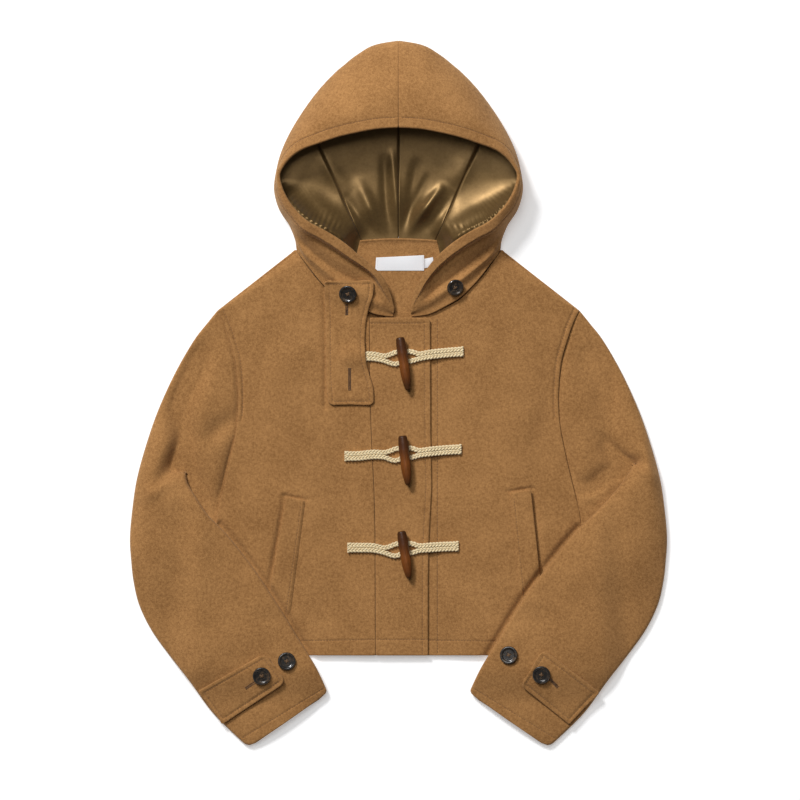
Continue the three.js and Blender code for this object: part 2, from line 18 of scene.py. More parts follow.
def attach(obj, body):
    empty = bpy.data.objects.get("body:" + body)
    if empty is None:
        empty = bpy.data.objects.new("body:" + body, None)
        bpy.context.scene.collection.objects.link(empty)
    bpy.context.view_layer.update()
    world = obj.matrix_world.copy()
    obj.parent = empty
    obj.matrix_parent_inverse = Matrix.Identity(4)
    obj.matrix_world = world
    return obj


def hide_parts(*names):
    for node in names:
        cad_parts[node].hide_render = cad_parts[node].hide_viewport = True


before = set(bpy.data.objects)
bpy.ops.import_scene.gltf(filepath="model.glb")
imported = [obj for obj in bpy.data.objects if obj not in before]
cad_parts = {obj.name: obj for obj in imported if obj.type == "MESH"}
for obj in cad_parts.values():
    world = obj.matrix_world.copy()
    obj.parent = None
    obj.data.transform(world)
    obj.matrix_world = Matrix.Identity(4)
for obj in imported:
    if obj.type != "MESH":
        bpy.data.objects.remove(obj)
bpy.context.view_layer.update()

Array = np.ndarray
LOG = logging.getLogger("coat")
MM = 0.001

WOOL = 2.4
LINING = 0.8
TAB_CLOTH = 2.6
LABEL_CLOTH = 0.5
GAP = 0.35
BACK_TOP = WOOL
EDGE_TOP = 2 * WOOL + GAP
FRONT_TOP = 8.0
UNDER_PLACKET_TOP = 6.2
PLACKET_TOP = UNDER_PLACKET_TOP + 1.5 * GAP + WOOL
SLEEVE_REST = FRONT_TOP + 2 * GAP
HEM_Y = -326.0
HEM_HALF = 238.0
SEAM_X = -29.4
PLACKET_EDGE_X = 39.4
UNDERLAP_X = -17.0
PLACKET_TOP_Y = 97.0
HEM_STITCH = 20.0
EDGE_STITCH = 7.0


class Side(Enum):
    """The two halves of the coat, as the viewer sees them."""

    LEFT = -1
    RIGHT = 1

    @property
    def label(self) -> str:
        """The word that the nodes' names end with."""
        return "viewer_left" if self is Side.LEFT else "viewer_right"


# Numbers and curves


def smooth(low: float, high: float, value: Array) -> Array:
    """A soft step from 0 at low to 1 at high."""
    share = np.clip((np.asarray(value, dtype=float) - low) / (high - low), 0.0, 1.0)
    return share * share * (3.0 - 2.0 * share)


def bell(distance: Array, width: float) -> Array:
    """A soft bump of height 1 at distance 0, gone at about twice its width."""
    return np.exp(-((np.asarray(distance, dtype=float) / width) ** 2))


def mix(low: Array, high: Array, share: Array) -> Array:
    """The value a share of the way from low to high."""
    return low + (high - low) * share


def spline(rows: Array, at: Array) -> Array:
    """A smooth curve through the rows of a table.

    Args:
        rows: One point, or one set of values, for each row.
        at: Row numbers, with fractions between the rows.

    Returns:
        The values at each of those row numbers.
    """
    rows = np.asarray(rows, dtype=float)
    at = np.asarray(at, dtype=float)
    last = len(rows) - 1
    low = np.clip(np.floor(at).astype(int), 0, last - 1)
    share = (at - low).reshape(at.shape + (1,) * (rows.ndim - 1))
    a = rows[np.clip(low - 1, 0, last)]
    b = rows[low]
    c = rows[low + 1]
    d = rows[np.clip(low + 2, 0, last)]
    cubic = 3 * (b - c) + d - a
    square = 2 * a - 5 * b + 4 * c - d
    return b + 0.5 * share * (c - a + share * (square + share * cubic))


def centripetal(points: Array, at: Array) -> Array:
    """The curve that the solids follow through a few unevenly spaced points.

    Args:
        points: The points, at least three.
        at: Shares from 0 to 1, the same for each stretch between two points.

    Returns:
        The points on the curve.
    """
    points = np.asarray(points, dtype=float)
    last = len(points) - 1
    place = np.clip(at, 0.0, 1.0) * last
    low = np.clip(np.floor(place).astype(int), 0, last - 1)
    share = (place - low)[:, None]
    before = np.where(low[:, None] > 0, points[low - 1], 2 * points[0] - points[1])
    after_row = np.clip(low + 2, 0, last)
    beyond = 2 * points[last] - points[last - 1]
    after = np.where((low + 2 <= last)[:, None], points[after_row], beyond)
    here = points[low]
    there = points[low + 1]

    def root(a: Array, b: Array) -> Array:
        """The square root of the distance between two points."""
        return np.maximum(np.linalg.norm(b - a, axis=1, keepdims=True) ** 0.5, 1e-4)

    first, middle, third = root(before, here), root(here, there), root(there, after)
    leave = (here - before) / first - (there - before) / (first + middle) + (there - here) / middle
    arrive = (there - here) / middle - (after - here) / (middle + third) + (after - there) / third
    leave = leave * middle
    arrive = arrive * middle
    cubic = 2 * here - 2 * there + leave + arrive
    square = -3 * here + 3 * there - 2 * leave - arrive
    return here + share * (leave + share * (square + share * cubic))


def run_length(points: Array) -> Array:
    """How far along a line each of its points lies."""
    steps = np.linalg.norm(np.diff(points, axis=0), axis=1)
    return np.concatenate([[0.0], np.cumsum(steps)])


def evenly(points: Array, step: float) -> Array:
    """The same line with points about a step apart."""
    along = run_length(points)
    count = max(2, int(round(along[-1] / step)) + 1)
    places = np.linspace(0.0, along[-1], count)
    return np.stack([np.interp(places, along, points[:, k]) for k in range(points.shape[1])], axis=1)


def samples(length: float, step: float, marks: tuple[float, ...] = (), fine: float = 0.7) -> Array:
    """Places along a length: a plain step apart, and closer beside each mark.

    Args:
        length: The whole length.
        step: The plain step.
        marks: Places that are hit exactly, with closer ones beside them.
        fine: The step beside a mark.

    Returns:
        The places, from 0 to the length.
    """
    x = np.linspace(0.0, length, 4000)
    density = np.full_like(x, 1.0 / step)
    for mark in marks:
        density += bell(x - mark, 2.6) / fine
    total = np.concatenate([[0.0], np.cumsum((density[1:] + density[:-1]) / 2 * np.diff(x))])
    count = max(4, int(math.ceil(total[-1])))
    places = np.interp(np.linspace(0.0, total[-1], count + 1), total, x)
    for mark in marks:
        places[1 + int(np.argmin(np.abs(places[1:-1] - mark)))] = mark
    return places


def near(places: Array, mark: float) -> int:
    """The number of the place that lies on a mark."""
    return int(np.argmin(np.abs(places - mark)))


def ends_kept(place: Array, whole: float, actual: Array, kept: float = 18.0) -> Array:
    """Fit places along a nominal width to an actual one, leaving true distances at both ends."""
    end = np.minimum(kept, 0.45 * actual)
    middle = end + (place - kept) * (actual - 2 * end) / (whole - 2 * kept)
    last = actual - (whole - place) / kept * end
    return np.where(place < kept, place / kept * end, np.where(place > whole - kept, last, middle))


def path_distance(xy: Array, path: Array) -> Array:
    """The distance from each place to a line in the plane, both given as x and y."""
    best = np.full(xy.shape[:-1], 1e9)
    for start, end in zip(path[:-1], path[1:]):
        run = end - start
        share = np.clip(((xy - start) @ run) / max(float(run @ run), 1e-9), 0.0, 1.0)
        foot = start + share[..., None] * run
        best = np.minimum(best, np.linalg.norm(xy - foot, axis=-1))
    return best


def turned(direction: Array) -> Array:
    """A unit vector for each row."""
    return direction / np.maximum(np.linalg.norm(direction, axis=-1, keepdims=True), 1e-9)


# Meshes


def mesh_object(name: str, points: Array, faces: Array, uv: Array | None = None) -> bpy.types.Object:
    """Make a mesh object from points in millimetres.

    Args:
        name: The object's name.
        points: The points.
        faces: Rows of four point numbers.
        uv: A place on the flat cloth for each point, in millimetres.

    Returns:
        The object, at the origin.
    """
    mesh = bpy.data.meshes.new(name)
    mesh.vertices.add(len(points))
    points = np.array(points)
    points[:, 2] = np.maximum(points[:, 2], 0.0)
    mesh.vertices.foreach_set("co", (points * MM).astype(np.float32).ravel())
    flat = np.asarray(faces, dtype=np.int32)
    mesh.loops.add(flat.size)
    mesh.loops.foreach_set("vertex_index", flat.ravel())
    mesh.polygons.add(len(flat))
    mesh.polygons.foreach_set("loop_start", np.arange(0, flat.size, flat.shape[1], dtype=np.int32))
    if uv is not None:
        layer = mesh.uv_layers.new(name="flat_cloth")
        layer.data.foreach_set("uv", (np.asarray(uv)[flat.ravel()] * MM).astype(np.float32).ravel())
    mesh.update(calc_edges=True)
    mesh.validate()
    mesh.shade_smooth()
    made = bpy.data.objects.new(name, mesh)
    bpy.context.scene.collection.objects.link(made)
    return made


def grid_normals(face: Array, ring: bool) -> Array:
    """The unit normals of a grid of points, along column x row."""
    if ring:
        across = np.roll(face, -1, axis=1) - np.roll(face, 1, axis=1)
    else:
        across = np.gradient(face, axis=1)
    return turned(np.cross(across, np.gradient(face, axis=0)))


def cloth(
    name: str,
    face: Array,
    thickness: Array | float,
    turn: bool = False,
    ring: bool = False,
    bulge: float = 1.1,
) -> bpy.types.Object:
    """Make a closed wall of cloth whose raw edges are rounded.

    Args:
        name: The object's name.
        face: The shown face, a grid of points with rows and columns.
        thickness: The thickness behind that face, one for all or one for each point.
        turn: Whether the shown side is the one that row x column points to.
        ring: Whether each row closes on itself.
        bulge: How far the rounded edge stands out from its straight part.

    Returns:
        The object.
    """
    thickness = np.broadcast_to(np.asarray(thickness, dtype=float), face.shape[:2])
    if turn:
        face, thickness = face[:, ::-1], thickness[:, ::-1]
    face = np.array(face, dtype=float)
    rows, cols = face.shape[:2]
    for grid in [face] if ring else [face, face.swapaxes(0, 1)]:
        for way in (grid, grid[::-1]):
            line = np.linalg.norm(np.diff(way[: min(12, len(way))], axis=0), axis=2)
            depth = np.concatenate([np.zeros((1, line.shape[1])), np.cumsum(line, axis=0)])
            outward = turned(way[0] - way[1])
            pull = bulge * np.clip(1.0 - depth / (3.0 * bulge), 0.0, 1.0)
            way[: len(pull)] -= pull[..., None] * outward
    normals = grid_normals(face, ring)
    inner = face - normals * thickness[..., None]
    number = np.arange(rows * cols).reshape(rows, cols)
    if ring:
        after = np.roll(number, -1, axis=1)
        quads = np.stack([number[:-1], after[:-1], after[1:], number[1:]], axis=-1).reshape(-1, 4)
        loops = [number[0], number[-1, ::-1]]
        ways = [turned(face[0] - face[1]), turned(face[-1] - face[-2])[::-1]]
    else:
        quads = np.stack([number[:-1, :-1], number[:-1, 1:], number[1:, 1:], number[1:, :-1]], axis=-1)
        quads = quads.reshape(-1, 4)
        around = [number[0, :-1], number[:-1, -1], number[-1, :0:-1], number[:0:-1, 0]]
        loops = [np.concatenate(around)]
        way = np.zeros_like(face)
        way[0] += turned(face[0] - face[1])
        way[-1] += turned(face[-1] - face[-2])
        way[:, 0] += turned(face[:, 0] - face[:, 1])
        way[:, -1] += turned(face[:, -1] - face[:, -2])
        ways = [turned(way.reshape(-1, 3)[loops[0]])]
    down = np.linalg.norm(np.diff(face, axis=0), axis=2)
    beside = np.linalg.norm(np.diff(face, axis=1), axis=2)
    length_along = np.concatenate([np.zeros((1, cols)), np.cumsum(down, axis=0)])
    length_across = np.concatenate([np.zeros((rows, 1)), np.cumsum(beside, axis=1)], axis=1)
    flat_uv = np.stack([length_across, length_along], axis=-1).reshape(-1, 2)
    points = [face.reshape(-1, 3), inner.reshape(-1, 3)]
    uvs = [flat_uv, flat_uv]
    faces = [quads, quads[:, ::-1] + rows * cols]
    total = 2 * rows * cols
    flat_face, flat_inner = points[0], points[1]
    for loop, way in zip(loops, ways):
        middle = (flat_face[loop] + flat_inner[loop]) / 2
        lift = (flat_face[loop] - flat_inner[loop]) / 2
        previous = loop
        for angle in np.radians([32, 64, 90, 116, 148]):
            points.append(middle + bulge * math.sin(angle) * way + math.cos(angle) * lift)
            uvs.append(flat_uv[loop])
            current = total + np.arange(len(loop))
            faces.append(strip(previous, current))
            previous = current
            total += len(loop)
        faces.append(strip(previous, loop + rows * cols))
    return mesh_object(name, np.concatenate(points), np.concatenate(faces), np.concatenate(uvs))


def strip(upper: Array, lower: Array) -> Array:
    """The faces between two closed rows of point numbers."""
    return np.stack([np.roll(upper, -1), upper, lower, np.roll(lower, -1)], axis=-1)


def tube(path: Array, radius: Array | float, sides: int = 8) -> tuple[Array, Array]:
    """The points and faces of a round tube with rounded ends along a path.

    Args:
        path: The points of its middle line.
        radius: Its radius, or one for each point.
        sides: How many sides it has.

    Returns:
        The points, and the faces as rows of four point numbers.
    """
    count = len(path)
    radii = np.broadcast_to(np.asarray(radius, dtype=float), (count,))
    tangent = turned(np.gradient(path, axis=0))
    up = np.zeros_like(path)
    guide = np.array([0.0, 0.0, 1.0]) if abs(tangent[0, 2]) < 0.9 else np.array([1.0, 0.0, 0.0])
    for k in range(count):
        guide = guide - tangent[k] * float(guide @ tangent[k])
        guide = guide / max(np.linalg.norm(guide), 1e-9)
        up[k] = guide
    beside = np.cross(tangent, up)
    angles = np.linspace(0.0, 2 * np.pi, sides, endpoint=False)
    rings = [path[0] - tangent[0] * radii[0] * 0.8 + 0.02 * radii[0] * circle(up[0], beside[0], angles)]
    rings += [path[0] - tangent[0] * radii[0] * 0.5 + 0.75 * radii[0] * circle(up[0], beside[0], angles)]
    rings += [path[k] + radii[k] * circle(up[k], beside[k], angles) for k in range(count)]
    end, out = path[-1], tangent[-1] * radii[-1]
    last_circle = radii[-1] * circle(up[-1], beside[-1], angles)
    rings += [end + 0.5 * out + 0.75 * last_circle]
    rings += [end + 0.8 * out + 0.02 * last_circle]
    points = np.concatenate(rings)
    number = np.arange(len(rings) * sides).reshape(len(rings), sides)
    beside_number = np.roll(number, -1, axis=1)
    faces = np.stack([number[:-1], beside_number[:-1], beside_number[1:], number[1:]], axis=-1).reshape(-1, 4)
    cap = np.arange(sides // 2 - 1)
    low = np.stack([cap + 1, cap, sides - 1 - cap, sides - 2 - cap], axis=-1)
    high = low[:, ::-1] + (len(rings) - 1) * sides
    return points, np.concatenate([faces, low, high])


def circle(up: Array, beside: Array, angles: Array) -> Array:
    """Unit offsets round a path, from its up and side directions."""
    return np.cos(angles)[:, None] * up + np.sin(angles)[:, None] * beside


def gathered(name: str, parts: list[tuple[Array, Array]]) -> bpy.types.Object:
    """One object from several sets of points and faces."""
    total = 0
    points, faces = [], []
    for part_points, part_faces in parts:
        points.append(part_points)
        faces.append(part_faces + total)
        total += len(part_points)
    return mesh_object(name, np.concatenate(points), np.concatenate(faces))


# What lies on what


class Relief:
    """The height of all that has been laid down so far, on a fine square grid seen from above."""

    LOW = np.array([-370.0, -470.0])
    CELLS = (940, 740)

    def __init__(self) -> None:
        """Start with the bare surface."""
        self.height = np.zeros(self.CELLS)

    def add(self, face: Array) -> None:
        """Take in a grid of points as the new upper face wherever it is higher."""
        step = max(
            float(np.percentile(np.linalg.norm(np.diff(face, axis=0), axis=2), 98)),
            float(np.percentile(np.linalg.norm(np.diff(face, axis=1), axis=2), 98)),
        )
        parts = max(1, int(math.ceil(step / 0.8)))
        rows, cols = face.shape[:2]
        down = spread(face, np.linspace(0, rows - 1, (rows - 1) * parts + 1))
        full = spread(down.swapaxes(0, 1), np.linspace(0, cols - 1, (cols - 1) * parts + 1))
        places = np.round(full[..., :2] - self.LOW).astype(int).reshape(-1, 2)
        inside = (places >= 0).all(axis=1) & (places[:, 1] < self.CELLS[0]) & (places[:, 0] < self.CELLS[1])
        places = places[inside]
        np.maximum.at(self.height, (places[:, 1], places[:, 0]), full[..., 2].reshape(-1)[inside])

    def at(self, xy: Array, reach: float = 0.0) -> Array:
        """The highest place within reach of each x and y."""
        offsets = [(0.0, 0.0)]
        if reach > 0:
            for share in (0.5, 1.0):
                for k in range(8):
                    angle = k * math.pi / 4
                    offsets.append((share * reach * math.cos(angle), share * reach * math.sin(angle)))
        best = np.full(xy.shape[:-1], -1e9)
        for offset in offsets:
            best = np.maximum(best, self.read(xy + np.array(offset)))
        return best

    def read(self, xy: Array) -> Array:
        """The height at each x and y, smoothed between the cells."""
        place = xy - self.LOW
        cell = np.floor(place).astype(int)
        share = place - cell
        x = np.clip(cell[..., 0], 0, self.CELLS[1] - 2)
        y = np.clip(cell[..., 1], 0, self.CELLS[0] - 2)
        low = mix(self.height[y, x], self.height[y, x + 1], share[..., 0])
        high = mix(self.height[y + 1, x], self.height[y + 1, x + 1], share[..., 0])
        return mix(low, high, share[..., 1])


def spread(grid: Array, at: Array) -> Array:
    """Read a grid at fractional row numbers."""
    low = np.clip(np.floor(at).astype(int), 0, len(grid) - 2)
    share = (at - low)[:, None, None]
    return grid[low] * (1 - share) + grid[low + 1] * share


RELIEF = Relief()


def on_top(plan: Array) -> Array:
    """A line laid along a plan line on top of all that is there."""
    plan = evenly(plan, 2.0)
    return np.concatenate([plan, RELIEF.at(plan)[:, None]], axis=1)


def laid(plan: Array, thickness: float, reach: float = 2.5, gap: float = 0.15, passes: int = 10) -> Array:
    """Lay a flat-cut piece over all that lies there already.

    Args:
        plan: Its plan, a grid of x and y.
        thickness: Its thickness.
        reach: How far around each point it feels what lies below.
        gap: The clearance under it.
        passes: How much it is evened out.

    Returns:
        Its upper face, a grid of points.
    """
    floor = RELIEF.at(plan, reach) + gap + thickness
    height = floor.copy()
    for k in range(passes):
        padded = np.pad(height, 1, mode="edge")
        mean = (padded[:-2, 1:-1] + padded[2:, 1:-1] + padded[1:-1, :-2] + padded[1:-1, 2:]) / 4
        height = np.maximum(floor - 0.3, mean) if k < passes - 2 else mean
    return np.concatenate([plan, height[..., None]], axis=-1)


@dataclass(frozen=True)
class Crease:
    """A soft trough, or a ridge where its depth is negative, along a line seen from above.

    It can be wider or narrower on the right of the line than on its left, and it fades towards both
    of its ends unless it is whole.
    """

    path: tuple[tuple[float, float], ...]
    width: float
    depth: float
    right: float = 0.0
    whole: bool = False

    def sink(self, xy: Array) -> Array:
        """How far it lowers the cloth at each x and y, fading towards both of its ends."""
        line = evenly(spline(np.array(self.path), np.linspace(0, len(self.path) - 1, 24)), 6.0)
        distance = np.full(xy.shape[:-1], 1e9)
        along = np.zeros(xy.shape[:-1])
        side = np.zeros(xy.shape[:-1])
        stations = run_length(line)
        for k in range(len(line) - 1):
            run = line[k + 1] - line[k]
            share = np.clip(((xy - line[k]) @ run) / max(float(run @ run), 1e-9), 0.0, 1.0)
            offset = xy - (line[k] + share[..., None] * run)
            gap = np.linalg.norm(offset, axis=-1)
            closer = gap < distance
            side = np.where(closer, run[0] * offset[..., 1] - run[1] * offset[..., 0], side)
            distance = np.where(closer, gap, distance)
            along = np.where(closer, (stations[k] + share * np.linalg.norm(run)) / stations[-1], along)
        fade = np.clip(np.sin(np.pi * np.clip(0.06 + 0.88 * along, 0.0, 1.0)), 0.0, 1.0) ** 0.6
        if self.whole:
            fade = np.ones_like(fade)
        width = np.where(side < 0, self.right or self.width, self.width)
        return self.depth * bell(distance, width) * fade


def creased(face: Array, creases: tuple[Crease, ...], share: Array | float = 1.0) -> Array:
    """Lower a grid of points by its creases, by a share that can differ from point to point."""
    made = face.copy()
    for crease in creases:
        made[..., 2] -= crease.sink(face[..., :2]) * share
    return made


# Sewing


@dataclass(frozen=True)
class Thread:
    """A line of stitches in sewing thread."""

    pitch: float = 3.6
    length: float = 2.7
    radius: float = 0.3

    def sew(self, name: str, lines: list[Array], sink: float = 0.12) -> bpy.types.Object:
        """Lay stitches along lines on the cloth.

        Args:
            name: The object's name.
            lines: The lines, each a row of points on the cloth's face.
            sink: How far the stitches are pulled into the cloth.

        Returns:
            The object that holds all of them.
        """
        parts = []
        for line in lines:
            along = run_length(line)
            for start in np.arange(self.pitch * 0.4, along[-1] - self.length, self.pitch):
                places = start + self.length * np.array([0.0, 0.3, 0.7, 1.0])
                path = np.stack([np.interp(places, along, line[:, k]) for k in range(3)], axis=1)
                path[:, 2] += self.radius * np.array([-0.6, 0.7, 0.7, -0.6]) - sink
                parts.append(tube(path, self.radius * np.array([0.7, 1.0, 1.0, 0.7]), 6))
        return gathered(name, parts)


def dress(piece: bpy.types.Object, finish: "Finish", nodes: tuple[str, ...] = ()) -> bpy.types.Object:
    """Give a piece its finish and body, and hide the solids that it stands for."""
    piece.data.materials.clear()
    piece.data.materials.append(finish.material())
    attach(piece, "root")
    if nodes:
        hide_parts(*nodes)
    LOG.info("%s: %d faces", piece.name, len(piece.data.polygons))
    return piece


# Finishes


class Shade:
    """A small helper that adds shader nodes to one tree."""

    def __init__(self, tree: bpy.types.NodeTree) -> None:
        """Work on this tree."""
        self.tree = tree

    def node(self, kind: str, inputs: dict | None = None, **settings: object) -> bpy.types.Node:
        """Add a node, set its properties, and set or link its inputs."""
        made = self.tree.nodes.new(kind)
        for name, value in settings.items():
            setattr(made, name, value)
        for name, value in (inputs or {}).items():
            socket = made.inputs[name]
            if isinstance(value, bpy.types.NodeSocket):
                self.tree.links.new(value, socket)
            else:
                socket.default_value = value
        return made

    def math(self, operation: str, *values: object) -> bpy.types.NodeSocket:
        """A Math node's result."""
        made = self.tree.nodes.new("ShaderNodeMath")
        made.operation = operation
        for k, value in enumerate(values):
            if isinstance(value, bpy.types.NodeSocket):
                self.tree.links.new(value, made.inputs[k])
            else:
                made.inputs[k].default_value = value
        return made.outputs[0]

    def blend(self, factor: object, first: object, second: object, how: str = "MIX") -> bpy.types.NodeSocket:
        """A colour mixed from two others."""
        made = self.tree.nodes.new("ShaderNodeMix")
        made.data_type = "RGBA"
        made.blend_type = how
        for k, value in ((0, factor), (6, first), (7, second)):
            if isinstance(value, bpy.types.NodeSocket):
                self.tree.links.new(value, made.inputs[k])
            else:
                made.inputs[k].default_value = value
        return made.outputs[2]

    def ramp(self, factor: bpy.types.NodeSocket, stops: list[tuple[float, tuple]]) -> bpy.types.NodeSocket:
        """A colour ramp's colour."""
        made = self.tree.nodes.new("ShaderNodeValToRGB")
        while len(made.color_ramp.elements) < len(stops):
            made.color_ramp.elements.new(0.5)
        for element, (place, colour) in zip(made.color_ramp.elements, stops):
            element.position = place
            element.color = colour
        self.tree.links.new(factor, made.inputs[0])
        return made.outputs[0]


def group(name: str, inputs: list[tuple[str, str, object]], outputs: list[tuple[str, str]]) -> tuple:
    """Start a shader node group with named inputs and outputs.

    Args:
        name: The group's name.
        inputs: The name, socket kind and starting value of each input.
        outputs: The name and socket kind of each output.

    Returns:
        The group's tree, its helper, and its input and output nodes.
    """
    tree = bpy.data.node_groups.new(name, "ShaderNodeTree")
    for label, kind, value in inputs:
        socket = tree.interface.new_socket(label, in_out="INPUT", socket_type=kind)
        if value is not None:
            socket.default_value = value
    for label, kind in outputs:
        tree.interface.new_socket(label, in_out="OUTPUT", socket_type=kind)
    shade = Shade(tree)
    return tree, shade, shade.node("NodeGroupInput"), shade.node("NodeGroupOutput")


def nap_group() -> bpy.types.NodeTree:
    """The uneven colour and height of brushed cloth, from a place on it."""
    if "brushed_nap" in bpy.data.node_groups:
        return bpy.data.node_groups["brushed_nap"]
    tree, shade, start, end = group(
        "brushed_nap",
        [
            ("Place", "NodeSocketVector", None),
            ("Fibre", "NodeSocketFloat", 900.0),
            ("Cloud", "NodeSocketFloat", 22.0),
            ("Light", "NodeSocketColor", (1, 1, 1, 1)),
            ("Dark", "NodeSocketColor", (0, 0, 0, 1)),
        ],
        [("Colour", "NodeSocketColor"), ("Height", "NodeSocketFloat")],
    )
    place = start.outputs["Place"]
    fibre = shade.node(
        "ShaderNodeTexNoise",
        {"Vector": place, "Scale": start.outputs["Fibre"], "Detail": 5.0, "Roughness": 0.75},
    )
    fleck = shade.node(
        "ShaderNodeTexNoise",
        {
            "Vector": place,
            "Scale": shade.math("MULTIPLY", start.outputs["Fibre"], 0.38),
            "Detail": 3.0,
            "Roughness": 0.6,
        },
    )
    cloud = shade.node(
        "ShaderNodeTexNoise",
        {"Vector": place, "Scale": start.outputs["Cloud"], "Detail": 3.0, "Roughness": 0.5},
    )
    fibre_part = shade.math("MULTIPLY", fibre.outputs["Fac"], 0.62)
    fine = shade.math("ADD", fibre_part, shade.math("MULTIPLY", fleck.outputs["Fac"], 0.38))
    fine_part = shade.math("MULTIPLY", fine, 0.82)
    tone = shade.math("ADD", fine_part, shade.math("MULTIPLY", cloud.outputs["Fac"], 0.18))
    limits = {"Value": tone, "From Min": 0.40, "From Max": 0.60}
    spread_tone = shade.node("ShaderNodeMapRange", limits).outputs[0]
    colour = shade.blend(spread_tone, start.outputs["Dark"], start.outputs["Light"])
    shade.tree.links.new(colour, end.inputs["Colour"])
    shade.tree.links.new(fine, end.inputs["Height"])
    return tree


def twist_group() -> bpy.types.NodeTree:
    """Fine threads that run at a slant across a piece's own flat cloth."""
    if "fine_threads" in bpy.data.node_groups:
        return bpy.data.node_groups["fine_threads"]
    tree, shade, start, end = group(
        "fine_threads",
        [("Place", "NodeSocketVector", None), ("Count", "NodeSocketFloat", 900.0)],
        [("Height", "NodeSocketFloat")],
    )
    wave = shade.node(
        "ShaderNodeTexWave",
        {
            "Vector": start.outputs["Place"],
            "Scale": start.outputs["Count"],
            "Distortion": 1.2,
            "Detail": 1.0,
            "Detail Scale": 2.0,
        },
        bands_direction="DIAGONAL",
    )
    shade.tree.links.new(wave.outputs["Fac"], end.inputs["Height"])
    return tree


@dataclass(frozen=True)
class Finish:
    """What every finish has: its name and a slot name."""

    name: str = "finish"
    slot: str = "wool"

    def material(self) -> bpy.types.Material:
        """The finish's material, built once."""
        if self.name in bpy.data.materials:
            return bpy.data.materials[self.name]
        made = bpy.data.materials.new(self.name)
        made.use_nodes = True
        shade = Shade(made.node_tree)
        surface = made.node_tree.nodes["Principled BSDF"]
        self.paint(shade, surface)
        return made

    def paint(self, shade: Shade, surface: bpy.types.Node) -> None:
        """Set up the surface's shader."""
        raise NotImplementedError

    def bump(
        self, shade: Shade, surface: bpy.types.Node, height: bpy.types.NodeSocket, depth_mm: float
    ) -> None:
        """Give the surface a fine relief of that depth."""
        made = shade.node("ShaderNodeBump", {"Height": height, "Distance": depth_mm * MM, "Strength": 1.0})
        shade.tree.links.new(made.outputs[0], surface.inputs["Normal"])


@dataclass(frozen=True)
class BrushedWool(Finish):
    """Dense coat wool with a short brushed nap."""

    name: str = "camel_wool"
    light: tuple = (0.470, 0.238, 0.085, 1)
    dark: tuple = (0.250, 0.116, 0.037, 1)
    fibre: float = 760.0

    def paint(self, shade: Shade, surface: bpy.types.Node) -> None:
        """Flecked camel colour, a soft sheen and a fine nap."""
        place = shade.node("ShaderNodeTexCoord").outputs["Object"]
        nap = shade.node("ShaderNodeGroup", node_tree=nap_group())
        shade.tree.links.new(place, nap.inputs["Place"])
        nap.inputs["Fibre"].default_value = self.fibre
        nap.inputs["Light"].default_value = self.light
        nap.inputs["Dark"].default_value = self.dark
        shade.tree.links.new(nap.outputs["Colour"], surface.inputs["Base Color"])
        surface.inputs["Roughness"].default_value = 0.95
        surface.inputs["Specular IOR Level"].default_value = 0.15
        surface.inputs["Sheen Weight"].default_value = 0.25
        surface.inputs["Sheen Roughness"].default_value = 0.5
        surface.inputs["Sheen Tint"].default_value = (0.95, 0.75, 0.5, 1)
        self.bump(shade, surface, nap.outputs["Height"], 0.35)


@dataclass(frozen=True)
class Satin(Finish):
    """Olive-brown satin lining."""

    name: str = "olive_satin"
    slot: str = "lining"

    def paint(self, shade: Shade, surface: bpy.types.Node) -> None:
        """A warm, partly metallic gloss over fine threads."""
        place = shade.node("ShaderNodeTexCoord").outputs["Object"]
        nap = shade.node("ShaderNodeGroup", node_tree=nap_group())
        shade.tree.links.new(place, nap.inputs["Place"])
        nap.inputs["Fibre"].default_value = 300.0
        nap.inputs["Cloud"].default_value = 9.0
        nap.inputs["Light"].default_value = (0.205, 0.122, 0.040, 1)
        nap.inputs["Dark"].default_value = (0.160, 0.092, 0.028, 1)
        shade.tree.links.new(nap.outputs["Colour"], surface.inputs["Base Color"])
        surface.inputs["Metallic"].default_value = 0.6
        surface.inputs["Roughness"].default_value = 0.42
        surface.inputs["Sheen Weight"].default_value = 0.1
        threads = shade.node("ShaderNodeGroup", node_tree=twist_group())
        flat = shade.node("ShaderNodeUVMap", uv_map="flat_cloth").outputs[0]
        shade.tree.links.new(flat, threads.inputs["Place"])
        threads.inputs["Count"].default_value = 700.0
        self.bump(shade, surface, threads.outputs["Height"], 0.015)


@dataclass(frozen=True)
class BraidYarn(Finish):
    """Cream cotton yarn."""

    name: str = "cream_yarn"
    slot: str = "cord"

    def paint(self, shade: Shade, surface: bpy.types.Node) -> None:
        """Dry fibres in uneven cream."""
        place = shade.node("ShaderNodeTexCoord").outputs["Object"]
        nap = shade.node("ShaderNodeGroup", node_tree=nap_group())
        shade.tree.links.new(place, nap.inputs["Place"])
        nap.inputs["Fibre"].default_value = 1500.0
        nap.inputs["Cloud"].default_value = 160.0
        nap.inputs["Light"].default_value = (0.920, 0.790, 0.520, 1)
        nap.inputs["Dark"].default_value = (0.680, 0.520, 0.290, 1)
        shade.tree.links.new(nap.outputs["Colour"], surface.inputs["Base Color"])
        surface.inputs["Roughness"].default_value = 0.85
        surface.inputs["Sheen Weight"].default_value = 0.2
        self.bump(shade, surface, nap.outputs["Height"], 0.3)


